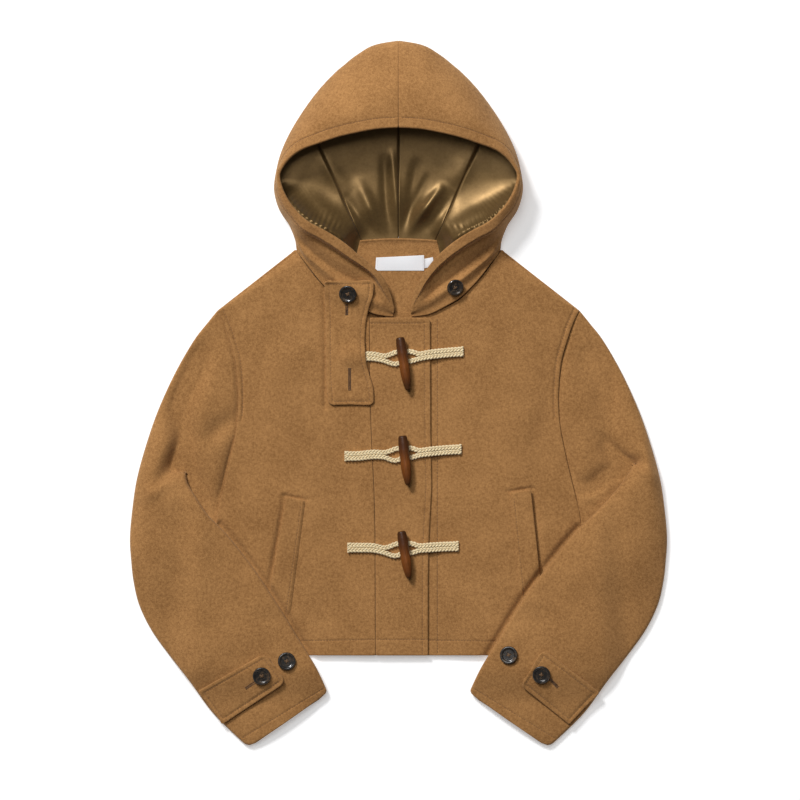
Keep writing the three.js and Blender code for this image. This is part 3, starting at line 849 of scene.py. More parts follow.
@dataclass(frozen=True)
class StainedWood(Finish):
    """Dark red-brown stained wood, darker towards both ends of a toggle."""

    name: str = "stained_wood"
    slot: str = "wood"

    def paint(self, shade: Shade, surface: bpy.types.Node) -> None:
        """Long grain along the piece, dark ends and a polished coat."""
        flat = shade.node("ShaderNodeUVMap", uv_map="flat_cloth").outputs[0]
        along = shade.node("ShaderNodeSeparateXYZ", {"Vector": flat}).outputs["Y"]
        stretched = shade.node("ShaderNodeMapping", {"Vector": flat, "Scale": (1.0, 0.07, 1.0)}).outputs[0]
        noise = {"Vector": stretched, "Scale": 900.0, "Detail": 5.0, "Roughness": 0.65}
        grain = shade.node("ShaderNodeTexNoise", noise)
        cloud = shade.node("ShaderNodeTexNoise", {"Vector": flat, "Scale": 60.0, "Detail": 2.0})
        limits = {"Value": along, "From Min": 0.0, "From Max": 0.07}
        place = shade.node("ShaderNodeMapRange", limits).outputs[0]
        body = shade.ramp(
            place,
            [
                (0.0, (0.022, 0.007, 0.004, 1)),
                (0.22, (0.060, 0.017, 0.006, 1)),
                (0.50, (0.215, 0.066, 0.012, 1)),
                (0.70, (0.150, 0.044, 0.009, 1)),
                (0.86, (0.045, 0.015, 0.005, 1)),
                (1.0, (0.014, 0.006, 0.004, 1)),
            ],
        )
        fine = shade.ramp(grain.outputs["Fac"], [(0.35, (0.45, 0.42, 0.4, 1)), (0.62, (1.25, 1.15, 1.1, 1))])
        colour = shade.blend(0.8, body, fine, "MULTIPLY")
        patches = shade.math("MULTIPLY", cloud.outputs["Fac"], 0.25)
        colour = shade.blend(patches, colour, (0.26, 0.10, 0.02, 1))
        shade.tree.links.new(colour, surface.inputs["Base Color"])
        surface.inputs["Roughness"].default_value = 0.46
        surface.inputs["Specular IOR Level"].default_value = 0.2
        surface.inputs["Coat Weight"].default_value = 0.07
        surface.inputs["Coat Roughness"].default_value = 0.25
        self.bump(shade, surface, grain.outputs["Fac"], 0.12)


@dataclass(frozen=True)
class DarkHorn(Finish):
    """Near-black button material with faint brown streaks."""

    name: str = "dark_horn"
    slot: str = "button"

    def paint(self, shade: Shade, surface: bpy.types.Node) -> None:
        """Cloudy streaks under a polish."""
        place = shade.node("ShaderNodeTexCoord").outputs["Object"]
        cloud = shade.node(
            "ShaderNodeTexNoise",
            {"Vector": place, "Scale": 130.0, "Detail": 4.0, "Roughness": 0.6, "Distortion": 1.5},
        )
        colour = shade.ramp(
            cloud.outputs["Fac"],
            [
                (0.30, (0.012, 0.011, 0.011, 1)),
                (0.50, (0.026, 0.022, 0.019, 1)),
                (0.62, (0.075, 0.050, 0.031, 1)),
                (0.80, (0.150, 0.100, 0.055, 1)),
            ],
        )
        shade.tree.links.new(colour, surface.inputs["Base Color"])
        surface.inputs["Roughness"].default_value = 0.28
        surface.inputs["Coat Weight"].default_value = 0.3
        self.bump(shade, surface, cloud.outputs["Fac"], 0.05)


@dataclass(frozen=True)
class SewingThread(Finish):
    """Sewing thread in one plain colour with a fine twist."""

    name: str = "brown_thread"
    colour: tuple = (0.215, 0.105, 0.042, 1)

    def paint(self, shade: Shade, surface: bpy.types.Node) -> None:
        """A plain colour broken up by its fibres."""
        place = shade.node("ShaderNodeTexCoord").outputs["Object"]
        fibre = shade.node("ShaderNodeTexNoise", {"Vector": place, "Scale": 2600.0, "Detail": 2.0})
        darker = tuple(0.7 * c for c in self.colour[:3]) + (1,)
        colour = shade.blend(fibre.outputs["Fac"], darker, self.colour)
        shade.tree.links.new(colour, surface.inputs["Base Color"])
        surface.inputs["Roughness"].default_value = 0.7
        surface.inputs["Sheen Weight"].default_value = 0.15


@dataclass(frozen=True)
class WovenTape(Finish):
    """White woven label tape."""

    name: str = "white_tape"
    slot: str = "label"

    def paint(self, shade: Shade, surface: bpy.types.Node) -> None:
        """Off-white with a fine rib."""
        flat = shade.node("ShaderNodeUVMap", uv_map="flat_cloth").outputs[0]
        ribs = {"Vector": flat, "Scale": 420.0, "Distortion": 0.4}
        rib = shade.node("ShaderNodeTexWave", ribs, bands_direction="Y")
        colour = shade.blend(rib.outputs["Fac"], (0.80, 0.80, 0.82, 1), (0.93, 0.93, 0.95, 1))
        shade.tree.links.new(colour, surface.inputs["Base Color"])
        surface.inputs["Roughness"].default_value = 0.6
        surface.inputs["Sheen Weight"].default_value = 0.2
        self.bump(shade, surface, rib.outputs["Fac"], 0.06)


WOOL_CLOTH = BrushedWool()
SATIN_CLOTH = Satin()
YARN = BraidYarn()
WOOD = StainedWood()
HORN = DarkHorn()
THREAD = SewingThread()
DARK_THREAD = SewingThread("dark_thread", colour=(0.190, 0.100, 0.042, 1))
HOLE_THREAD = SewingThread("buttonhole_thread", colour=(0.130, 0.060, 0.024, 1))
WHITE_THREAD = SewingThread("white_thread", colour=(0.75, 0.75, 0.77, 1))
TAPE = WovenTape()
STITCH = Thread()


# The body


ARMHOLE = [
    (226.0, 105.0),
    (218.0, 88.0),
    (210.5, 66.0),
    (204.0, 43.0),
    (201.0, 18.0),
    (200.0, -10.0),
    (202.0, -40.0),
    (208.0, -72.0),
    (214.0, -98.0),
    (220.5, -124.0),
    (226.0, -146.0),
]
SIDE_SEAM = [(HEM_HALF, HEM_Y), (236.5, -280.0), (234.0, -232.0), (230.5, -188.0)]
NECK_SEAM = [(61.0, 111.0), (92.0, 134.5), (111.0, 156.0), (126.5, 178.5)]
ARM_STEPS = 9
OPENING_ROWS = 10
SIDE_TURN = 16.0


def arm_share(step: Array) -> Array:
    """The share of the way round an armhole at a step from its top."""
    return (1.0 - np.cos(np.pi * np.asarray(step, dtype=float) / ARM_STEPS)) / 2.0


def armhole_point(share: Array) -> Array:
    """Places on the armhole, as a distance from the centre line and y, at shares of its length."""
    fine = centripetal(np.array(ARMHOLE), np.linspace(0.0, 1.0, 400))
    along = run_length(fine) / run_length(fine)[-1]
    return np.stack([np.interp(share, along, fine[:, k]) for k in range(2)], axis=-1)


def outer_edge(row: Array) -> Array:
    """The body's side seam and armhole, from the hem at row 0 up to the shoulder at row 13."""
    row = np.asarray(row, dtype=float)
    seam = np.array(SIDE_SEAM + [ARMHOLE[-1]])
    low = spline(seam, np.clip(row, 0, len(SIDE_SEAM)))
    high = armhole_point(arm_share(ARM_STEPS - np.clip(row - len(SIDE_SEAM), 0, ARM_STEPS)))
    return np.where((row < len(SIDE_SEAM))[..., None], low, high)


ARM_GROOVES = {
    Side.LEFT: (
        Crease(
            ((-223, -163), (-207.5, -180.5), (-180, -216), (-152, -258), (-126, -300), (-109, -328)),
            4.6, 4.6, 0.0, True,
        ),
        Crease(((-91.5, -16.0), (-91.5, 60.0), (-93.0, 138.0)), 2.6, 2.4, 0.0, True),
        Crease(((-144.0, -126.0), (-128.0, -129.0), (-113.0, -132.0)), 2.0, 2.6),
    ),
    Side.RIGHT: (
        Crease(
            ((225, -166), (208.5, -184), (182, -217), (153, -257), (126, -301), (108, -331)),
            4.6, 4.6, 0.0, True,
        ),
        Crease(((167.0, -117.0), (152.0, -119.0), (136.0, -121.5)), 2.0, 2.6),
    ),
}


@dataclass
class Body:
    """The back, the two fronts and the placket."""

    step: float = 2.5
    seam_line: tuple = (
        (-326.0, -28.8), (-172.0, -29.4), (-120.0, -30.6), (-44.0, -34.2), (8.0, -35.8), (97.0, -36.5),
    )
    edge_line: tuple = (
        (-326.0, 37.0), (-235.0, 37.0), (-180.0, 38.0), (-115.0, 41.5), (-45.0, 40.2), (97.0, 39.6),
    )
    topstitch_in: float = 6.5
    topstitch_end: float = -30.0
    front_stitch_x: float = 48.6
    creases_left: tuple = (
        Crease(((-198.0, 10.0), (-176.0, -40.0), (-170.0, -100.0)), 16.0, 1.2),
        Crease(((-196.0, -60.0), (-160.0, -120.0), (-128.0, -200.0)), 22.0, 1.4),
        Crease(((-60.0, -40.0), (-66.0, -140.0), (-58.0, -250.0)), 26.0, 0.9),
        Crease(((-120.0, 60.0), (-150.0, 10.0), (-160.0, -40.0)), 30.0, -1.4),
        Crease(((-95.0, -240.0), (-90.0, -290.0)), 16.0, 0.9),
        Crease(((-142.0, -127.0), (-149.5, -175.0), (-162.5, -246.0)), 3.4, 4.6),
    )
    creases_right: tuple = (
        Crease(((198.0, 10.0), (178.0, -50.0), (168.0, -110.0)), 16.0, 1.2),
        Crease(((196.0, -70.0), (170.0, -130.0), (150.0, -190.0)), 22.0, 1.3),
        Crease(((80.0, -10.0), (88.0, -120.0), (80.0, -250.0)), 28.0, 0.9),
        Crease(((120.0, 70.0), (146.0, 20.0), (158.0, -40.0)), 30.0, -1.4),
        Crease(((167.5, -118.0), (172.0, -165.0), (179.0, -234.0)), 3.2, 4.2),
    )

    def seam_x(self, y: Array) -> Array:
        """The placket's seam at each y."""
        line = np.array(self.seam_line)
        return np.interp(y, line[:, 0], line[:, 1])

    def edge_x(self, y: Array) -> Array:
        """The placket's free edge at each y."""
        line = np.array(self.edge_line)
        return np.interp(y, line[:, 0], line[:, 1])

    def front(self, side: Side) -> Array:
        """The upper face of a front, rows from the hem and columns from its inner edge."""
        sign = side.value
        top = PLACKET_TOP_Y if side is Side.LEFT else PLACKET_TOP_Y + 3
        opening = top - HEM_Y
        inner_x = self.seam_x if side is Side.LEFT else (lambda y: np.full_like(y, UNDERLAP_X))
        corner = [(sign * float(inner_x(np.array(top))), top)]
        neck = np.array(corner + NECK_SEAM)
        marks = run_length(neck) + opening
        row_at = np.concatenate([np.linspace(0, opening, OPENING_ROWS), marks[1:]])
        along = samples(float(row_at[-1]), self.step, (HEM_STITCH,))
        row = np.interp(along, row_at, np.arange(len(row_at)))
        y = HEM_Y + along
        straight = np.stack([sign * inner_x(y), y], axis=-1)
        curved = spline(neck, np.clip(row - OPENING_ROWS + 1, 0, len(NECK_SEAM)))
        inner = np.where((along <= opening)[:, None], straight, curved)
        outer = outer_edge(row)
        width = 208.0 if side is Side.LEFT else 255.0
        stitches = (width - self.topstitch_in,)
        if side is Side.RIGHT:
            stitches += (self.front_stitch_x - UNDERLAP_X,)
        across = samples(width, self.step, stitches)
        span = np.linalg.norm(outer - inner, axis=1)[:, None]
        share = ends_kept(across[None, :], width, span) / span
        xy = mix(inner[:, None], outer[:, None], share[..., None])
        from_side = (1 - share) * span
        height = self.front_height(sign * xy[..., 0], side)
        drop = (1 - smooth(0, SIDE_TURN, from_side)) * smooth(3.8, 2.4, row)[:, None]
        from_top = (row_at[-1] - along)[:, None]
        drop = np.maximum(drop, 1 - smooth(0, 14, from_top))
        swell = 1.2 * smooth(0, 60, from_side) * smooth(70, 150, xy[..., 0])
        swell = swell * smooth(0, 60, from_top) * smooth(0, 90, along)[:, None]
        height = mix(height + swell, EDGE_TOP, drop)
        height -= 0.5 * bell(along - HEM_STITCH, 1.1)[:, None]
        sewn = smooth(self.topstitch_end - 4, self.topstitch_end, xy[..., 1])
        topstitch = bell(from_side - self.topstitch_in, 1.7) * sewn
        height += 0.5 * bell(from_side - 0.5 * self.topstitch_in, 2.5) * sewn
        height -= 1.1 * topstitch
        if side is Side.RIGHT:
            height -= 0.45 * bell(xy[..., 0] - self.front_stitch_x, 1.1) * smooth(110, 92, xy[..., 1])
        face = np.stack([sign * xy[..., 0], xy[..., 1], height], axis=-1)
        creases = self.creases_left if side is Side.LEFT else self.creases_right
        self.lines = (along, across, width)
        return creased(face, creases + ARM_GROOVES[side], 1 - drop)

    def front_height(self, x: Array, side: Side) -> Array:
        """The height of a front's upper face: one front dips under the placket, and the other meets it."""
        if side is Side.LEFT:
            return mix(FRONT_TOP, PLACKET_TOP, smooth(SEAM_X - 50, SEAM_X - 4, x))
        return mix(UNDER_PLACKET_TOP, FRONT_TOP, smooth(PLACKET_EDGE_X + 4, PLACKET_EDGE_X + 60, x))

    def build_fronts(self) -> None:
        """Make both fronts and their stitching."""
        for side in (Side.LEFT, Side.RIGHT):
            face = self.front(side)
            along, across, width = self.lines
            RELIEF.add(face)
            piece = cloth(f"front_{side.label}", face, WOOL, turn=side is Side.LEFT, bulge=0.8)
            dress(piece, WOOL_CLOTH, (f"front_{side.label}",))
            piece.name = f"cloth_front_{side.label}"
            column = face[:, near(across, width - self.topstitch_in)]
            lines = [face[near(along, HEM_STITCH)], column[column[:, 1] > self.topstitch_end]]
            if side is Side.RIGHT:
                ends = np.array([(self.front_stitch_x, HEM_Y + 2), (self.front_stitch_x, 96.0)])
                lines.append(on_top(ends))
            dress(STITCH.sew(f"stitches_front_{side.label}", lines), THREAD)

    def build_back(self) -> None:
        """Make the back, flat on the surface."""
        row = np.linspace(0, 13, 90)
        outer = outer_edge(row)
        shoulder = np.linspace(0, 1, 24)[1:, None]
        neck_point = np.array([[130.0, 180.0]])
        outer = np.concatenate([outer, mix(outer[-1:], neck_point, shoulder)])
        across = np.linspace(-1, 1, 90)
        x = outer[:, :1] * across[None, :]
        y = np.repeat(outer[:, 1:], len(across), axis=1)
        rise = smooth(105, 180, outer[:, 1:]) * 13.0 * (1 - np.minimum(1, np.abs(x) / 130.0) ** 2)
        face = np.stack([x, y + rise, np.full_like(x, BACK_TOP)], axis=-1)
        RELIEF.add(face)
        piece = dress(cloth("cloth_back", face, WOOL, bulge=0.8), WOOL_CLOTH, ("back",))

    def build_placket(self) -> None:
        """Make the placket strip and its stitching."""
        length = PLACKET_TOP_Y - 1 - HEM_Y
        width = 70.0
        inset = EDGE_STITCH
        along = samples(length, self.step, (HEM_STITCH, length - inset))
        across = samples(width, 3.0, (width - inset,))
        y = HEM_Y + along
        corner = 6.0
        left = self.seam_x(y) + 0.3
        to_top = np.clip(corner - (length - along), 0, corner)
        right = self.edge_x(y) - (corner - np.sqrt(np.maximum(corner**2 - to_top**2, 0.0)))
        span = (right - left)[:, None]
        x = left[:, None] + ends_kept(across[None, :], width, span, 12.0)
        from_edge = left[:, None] + span - x
        from_top = (length - along)[:, None]
        height = np.full_like(x, PLACKET_TOP + 0.3)
        height -= 0.5 * bell(from_edge - inset, 1.1) * smooth(inset - 3, inset, from_top)
        height -= 0.5 * bell(from_top - inset, 1.1) * smooth(inset - 3, inset, from_edge)
        height -= 0.5 * bell(along - HEM_STITCH, 1.1)[:, None]
        height += 0.5 * np.sin(y / 47.0 + 1.0)[:, None] * smooth(2, 20, from_top)
        height += 1.6 * smooth(16, 2, from_top)
        face = np.stack([x, np.repeat(y[:, None], len(across), axis=1), height], axis=-1)
        RELIEF.add(face)
        piece = dress(cloth("cloth_placket", face, WOOL), WOOL_CLOTH, ("placket",))
        column = face[:, near(across, width - inset)]
        row = face[near(along, length - inset)]
        lines = [face[near(along, HEM_STITCH)], column[: near(along, length - inset) + 1]]
        lines.append(row[: near(across, width - inset) + 1])
        dress(STITCH.sew("stitches_placket", lines), THREAD)


# The sleeves


ARM_ROWS = [
    (239.0, 89.0, 13.0, 0.0, 0.3),
    (256.0, 67.0, 16.5, 0.0, 0.7),
    (279.0, 27.0, 19.0, 0.0, 1.0),
    (300.0, -19.0, 20.5, 0.0, 1.0),
    (315.0, -62.0, 22.0, 0.0, 0.8),
    (327.0, -106.0, 23.0, 0.1, 0.25),
    (333.0, -147.0, 22.5, 0.5, 0.0),
    (335.6, -180.0, 21.5, 1.0, 0.0),
    (334.0, -208.0, 20.5, 1.0, 0.0),
    (331.0, -234.0, 19.0, 1.0, 0.0),
    (324.0, -263.0, 17.5, 1.0, 0.0),
    (309.0, -294.0, 16.0, 1.0, 0.0),
    (287.0, -325.0, 14.5, 1.0, 0.0),
    (261.0, -358.0, 13.5, 1.0, 0.0),
    (231.0, -399.0, 12.5, 1.0, 0.0),
    (187.0, -441.6, 11.5, 1.0, 0.0),
]
FOLD = {
    Side.LEFT: [
        (241.0, -161.0),
        (253.0, -145.0),
        (263.0, -130.0),
        (269.0, -116.0),
        (267.0, -101.0),
        (266.0, -99.0),
        (262.2, -112.8),
        (252.0, -129.5),
        (239.4, -148.5),
        (222.0, -166.5),
        (208.0, -182.0),
        (181.0, -217.0),
        (153.0, -259.0),
        (127.0, -301.0),
        (102.0, -342.0),
        (88.0, -373.0),
    ],
    Side.RIGHT: [
        (241.0, -163.0),
        (256.0, -149.0),
        (271.0, -135.0),
        (284.0, -118.0),
        (293.0, -92.0),
        (293.0, -88.5),
        (283.0, -104.5),
        (267.0, -124.5),
        (247.0, -146.0),
        (225.0, -167.0),
        (209.0, -185.0),
        (183.0, -218.0),
        (154.0, -258.0),
        (127.0, -302.0),
        (103.0, -341.0),
        (88.0, -373.0),
    ],
}
ARM_FADE = np.array([1, 0.8, 0.55, 0.3, 0.12, 0, 0, 0, 0, 0, 0, 0, 0, 0, 0, 0, 0], dtype=float)


def rest_height(half: Array, y: Array) -> Array:
    """How high a sleeve rests over the body and its welts, sinking to 0 beyond them."""
    side_half = mix(HEM_HALF, 226.0, np.clip((y - HEM_Y) / 180.0, 0.0, 1.0))
    on_body = 1 - smooth(side_half + 12, side_half + 52, half)
    above_hem = smooth(HEM_Y - 62, HEM_Y - 12, y)
    on_welt = smooth(-285, -255, y) * (1 - smooth(168, 200, half)) * 2.8
    return (SLEEVE_REST + 1.4 + on_welt) * on_body * above_hem


@dataclass
class Sleeve:
    """One sleeve: a flattened tube, folded at the elbow, with its hem."""

    side: Side
    around: int = 132
    step: float = 3.4
    hem: float = 16.0
    corner: float = 11.0
    creases_left: tuple = (
        Crease(
            ((240.0, 66.0), (256.0, 22.0), (270.0, -16.0), (269.0, -66.0), (290.0, -104.0)),
            18.0, 15.0, 16.0,
        ),
        Crease(((268.0, -50.0), (276.0, -84.0), (300.0, -112.0)), 10.0, 6.0, 9.0),
        Crease(((208.0, -30.0), (218.0, -38.0), (238.0, -54.0)), 11.0, 6.0),
        Crease(((222.0, 60.0), (226.0, 0.0), (236.0, -50.0)), 14.0, 1.8),
        Crease(((316.0, -128.0), (298.0, -116.0), (276.0, -101.0)), 8.0, -4.5),
        Crease(((322.0, -215.0), (290.0, -200.0), (262.0, -196.0)), 24.0, -1.6),
        Crease(((300.0, -255.0), (255.0, -262.0), (210.0, -250.0)), 22.0, 1.3),
        Crease(((262.0, -318.0), (225.0, -312.0), (170.0, -290.0)), 20.0, -1.2),
    )
    upper_left: tuple = (
        Crease(((268.0, -92.0), (260.0, -110.0), (248.0, -130.0), (237.0, -148.0)), 5.0, 8.0, 15.0, True),
        Crease(((222.0, -139.0), (231.0, -145.0), (243.0, -153.0)), 3.6, 5.0, 3.0, True),
        Crease(((206.0, -60.0), (214.0, -98.0), (224.0, -136.0)), 4.0, 4.5, 13.0),
    )
    upper_right: tuple = (
        Crease(
            ((216.0, -122.0), (236.0, -121.0), (250.0, -116.0), (262.0, -105.0), (286.0, -98.0)),
            12.0, 13.0, 4.0, True,
        ),
        Crease(((256.0, -54.0), (272.0, -72.0), (292.0, -84.0)), 5.0, 9.0, 14.0),
        Crease(((206.0, -50.0), (212.0, -90.0), (218.0, -120.0)), 12.0, 4.0, 4.0),
        Crease(((221.0, -128.0), (248.0, -142.0)), 2.4, 1.6),
    )
    creases_right: tuple = (
        Crease(((236.0, 66.0), (256.0, 20.0), (266.0, -30.0), (288.0, -76.0)), 18.0, 12.0, 26.0),
        Crease(((226.0, 40.0), (224.0, -20.0), (230.0, -70.0)), 14.0, 1.8),
        Crease(((326.0, -110.0), (312.0, -100.0), (294.0, -90.0)), 9.0, -2.6),
        Crease(((322.0, -220.0), (290.0, -206.0), (258.0, -200.0)), 24.0, -1.6),
        Crease(((296.0, -258.0), (250.0, -258.0), (206.0, -244.0)), 22.0, 1.3),
        Crease(((254.0, -322.0), (222.0, -316.0), (170.0, -292.0)), 20.0, -1.2),
    )

    def face(self) -> Array:
        """The outer face, rows from the armhole and columns round the tube."""
        start, foot = armhole_point(np.array([0.0, 1.0]))
        end = np.array([231.0, -170.0])
        table = np.array(ARM_ROWS)
        first = [[*start, *end, FRONT_TOP, 0.0, 0.45]]
        others = np.concatenate([table[:, :2], np.array(FOLD[self.side]), table[:, 2:]], axis=1)
        stations = np.concatenate([first, others])
        middles = stations[:, 0:2] * 0.6 + stations[:, 2:4] * 0.4
        row_at = run_length(middles)
        self.along = samples(float(row_at[-1]), self.step, (2.5, float(row_at[-1]) - self.hem))
        row = np.interp(self.along, row_at, np.arange(len(row_at)))
        values = spline(stations, row)
        fade = spline(ARM_FADE[:, None], row)
        turn = np.linspace(0.0, 2 * ARM_STEPS, self.around, endpoint=False)
        top = turn <= ARM_STEPS
        around = np.where(top, turn, 2 * ARM_STEPS - turn)
        share = arm_share(around)
        chord = mix(start, foot, share[:, None])
        bow = armhole_point(share) - chord
        to_end = (row_at[-1] - self.along)[:, None]
        width = np.linalg.norm(values[:, 0:2] - values[:, 2:4], axis=1)[:, None]
        curl = np.clip(self.corner - to_end, 0.0, self.corner)
        inset = (self.corner - np.sqrt(np.maximum(self.corner**2 - curl**2, 0.0))) / width
        across = mix(inset, 1 - inset, share[None, :])
        plan = mix(values[:, None, 0:2], values[:, None, 2:4], across[..., None]) + fade[:, None] * bow
        height = values[:, 4:5] * (1 - 0.6 * values[:, 6:7] * smooth(0.35, 0.97, share)[None, :])
        rest = rest_height(plan[..., 0], plan[..., 1]) * values[:, 5:6]
        flat = 2 * WOOL + 2.2
        full = flat + np.maximum(height - flat, 0.0) * np.sin(np.pi * share)[None, :] ** 0.75
        from_fold = np.minimum(share, 1 - share)[None, :] * width
        turned_edge = np.sqrt(np.clip(1 - (1 - np.clip(from_fold / 3.3, 0, 1)) ** 2, 0, 1))
        z = rest + full * (0.5 + 0.5 * turned_edge * np.where(top, 1.0, -1.0)[None, :])
        z += 7.0 * smooth(0.45, 1.0, share)[None, :] * bell(row - 7.2, 1.9)[:, None]
        is_top = (top & (around > 0.8) & (around < 8.2)).astype(float)[None, :]
        z -= 0.5 * bell(to_end - self.hem, 1.1) * is_top
        arch = np.sin(np.pi * around / ARM_STEPS) ** 0.5 * top
        tuck = (1 - smooth(0.6, 3.8, self.along))[:, None] * arch[None, :]
        plan[..., 0] -= 3.5 * tuck
        z = mix(z, np.minimum(z, EDGE_TOP), tuck)
        face = np.stack([plan[..., 0], plan[..., 1], z], axis=-1)
        creases = self.creases_left if self.side is Side.LEFT else self.creases_right
        upper = self.upper_left if self.side is Side.LEFT else self.upper_right
        weight = np.where(top, np.clip(np.sin(np.pi * around / ARM_STEPS) * 1.4, 0, 1), 0.0)[None, :]
        face = creased(face, creases, weight * smooth(0, 10, to_end))
        face = creased(face, upper, np.sqrt(weight) * smooth(6.3, 5.4, row)[:, None])
        floor = np.where(top, rest + 2 * WOOL, -1e9)
        face[..., 2] = np.maximum(face[..., 2], np.minimum(z, floor))
        face[..., 0] *= self.side.value
        self.top = top
        return face

    def build(self) -> None:
        """Make the sleeve and its hem's stitching."""
        face = self.face()
        RELIEF.add(face[:, self.top])
        turn = self.side is Side.LEFT
        piece = dress(cloth(f"cloth_sleeve_{self.side.label}", face, WOOL, turn=turn, ring=True), WOOL_CLOTH,
                      (f"sleeve_{self.side.label}",))
        f"front_{self.side.label}"
        line = face[near(self.along, self.along[-1] - self.hem)][self.top]
        dress(STITCH.sew(f"stitches_sleeve_{self.side.label}", [line[6:-6]]), THREAD)


@dataclass
class Welt:
    """One pocket welt, sewn in along its inner edge and open along its outer edge."""

    side: Side
    lines: dict = field(
        default_factory=lambda: {
            Side.LEFT: ((116.0, -133.0), (136.5, -288.0), (140.0, -128.0), (163.5, -262.0)),
            Side.RIGHT: ((138.0, -123.0), (154.0, -280.0), (165.5, -119.0), (179.0, -247.0)),
        }
    )

    def build(self) -> None:
        """Make the welt and the stitches along its seam."""
        seam_top, seam_end, open_top, open_end = (np.array(p) for p in self.lines[self.side])
        length = float(np.linalg.norm(seam_end - seam_top))
        along = samples(length, 3.0)
        across = samples(25.0, 2.2, (5.0,))
        v = (along / length)[:, None, None]
        u = (across / 25.0)[None, :, None]
        plan = mix(mix(seam_top, seam_end, v), mix(open_top, open_end, v), u)
        plan[..., 0] *= self.side.value
        face = laid(plan, WOOL, 1.5)
        face[..., 2] += 1.8 * smooth(8, 25, across)[None, :] - 2.2 * bell(across, 2.6)[None, :]
        face[..., 2] -= 0.45 * bell(across - 5.0, 1.1)[None, :]
        face = creased(face, ARM_GROOVES[self.side][:1])
        RELIEF.add(face)
        name = f"pocket_welt_{self.side.label}"
        piece = cloth(f"cloth_{name}", face, WOOL, turn=self.side is Side.RIGHT)
        dress(piece, WOOL_CLOTH, (name,))
        f"front_{self.side.label}"
        line = face[2:-2, near(across, 5.0)]
        dress(STITCH.sew(f"stitches_{name}", [line]), THREAD)


# The hood and the neck


HOOD_ROWS = [
    ((0.2, 331.0, 69.0), (0.2, 441.6, 15.0), (0.2, 193.9, 0.0)),
    ((26.0, 329.5, 69.0), (36.0, 433.5, 15.0), (12.0, 193.8, 0.0)),
    ((52.0, 325.0, 67.0), (71.0, 408.5, 15.0), (24.0, 193.5, 0.0)),
    ((76.0, 319.5, 63.5), (97.0, 382.5, 15.0), (35.0, 193.0, 0.0)),
    ((98.0, 312.5, 58.5), (119.0, 353.0, 15.0), (46.0, 192.4, 0.0)),
    ((122.0, 304.0, 53.0), (136.0, 324.0, 15.0), (58.0, 191.2, 0.0)),
    ((140.0, 291.0, 48.0), (147.0, 297.0, 15.0), (72.0, 189.6, 0.0)),
    ((151.0, 276.0, 46.0), (152.5, 270.0, 14.0), (86.0, 187.6, 0.0)),
    ((146.6, 257.0, 46.0), (154.5, 252.0, 15.0), (98.0, 185.9, 0.0)),
    ((137.5, 240.0, 47.0), (149.0, 231.0, 15.0), (110.0, 184.1, 0.6)),
    ((126.0, 226.0, 47.0), (137.5, 214.0, 15.0), (120.0, 183.0, 3.0)),
    ((110.6, 213.5, 46.0), (127.0, 192.0, 16.0), (127.5, 180.5, 7.6)),
    ((91.0, 203.5, 44.0), (117.0, 175.0, 19.0), (112.0, 159.0, 12.4)),
    ((73.5, 193.0, 41.0), (96.0, 156.0, 19.0), (95.0, 138.0, 12.4)),
    ((57.0, 180.5, 37.0), (73.0, 138.0, 19.0), (77.0, 121.0, 12.4)),
    ((42.0, 165.6, 31.0), (53.0, 125.0, 18.0), (60.0, 110.6, 11.5)),
    ((29.5, 148.0, 25.0), (37.0, 114.0, 16.0), (41.0, 101.0, 10.4)),
    ((19.8, 128.0, 18.0), (25.0, 107.0, 13.5), (27.0, 98.2, 9.4)),
    ((14.6, 107.0, 12.5), (15.5, 101.5, 11.5), (16.0, 97.0, 8.6)),
]


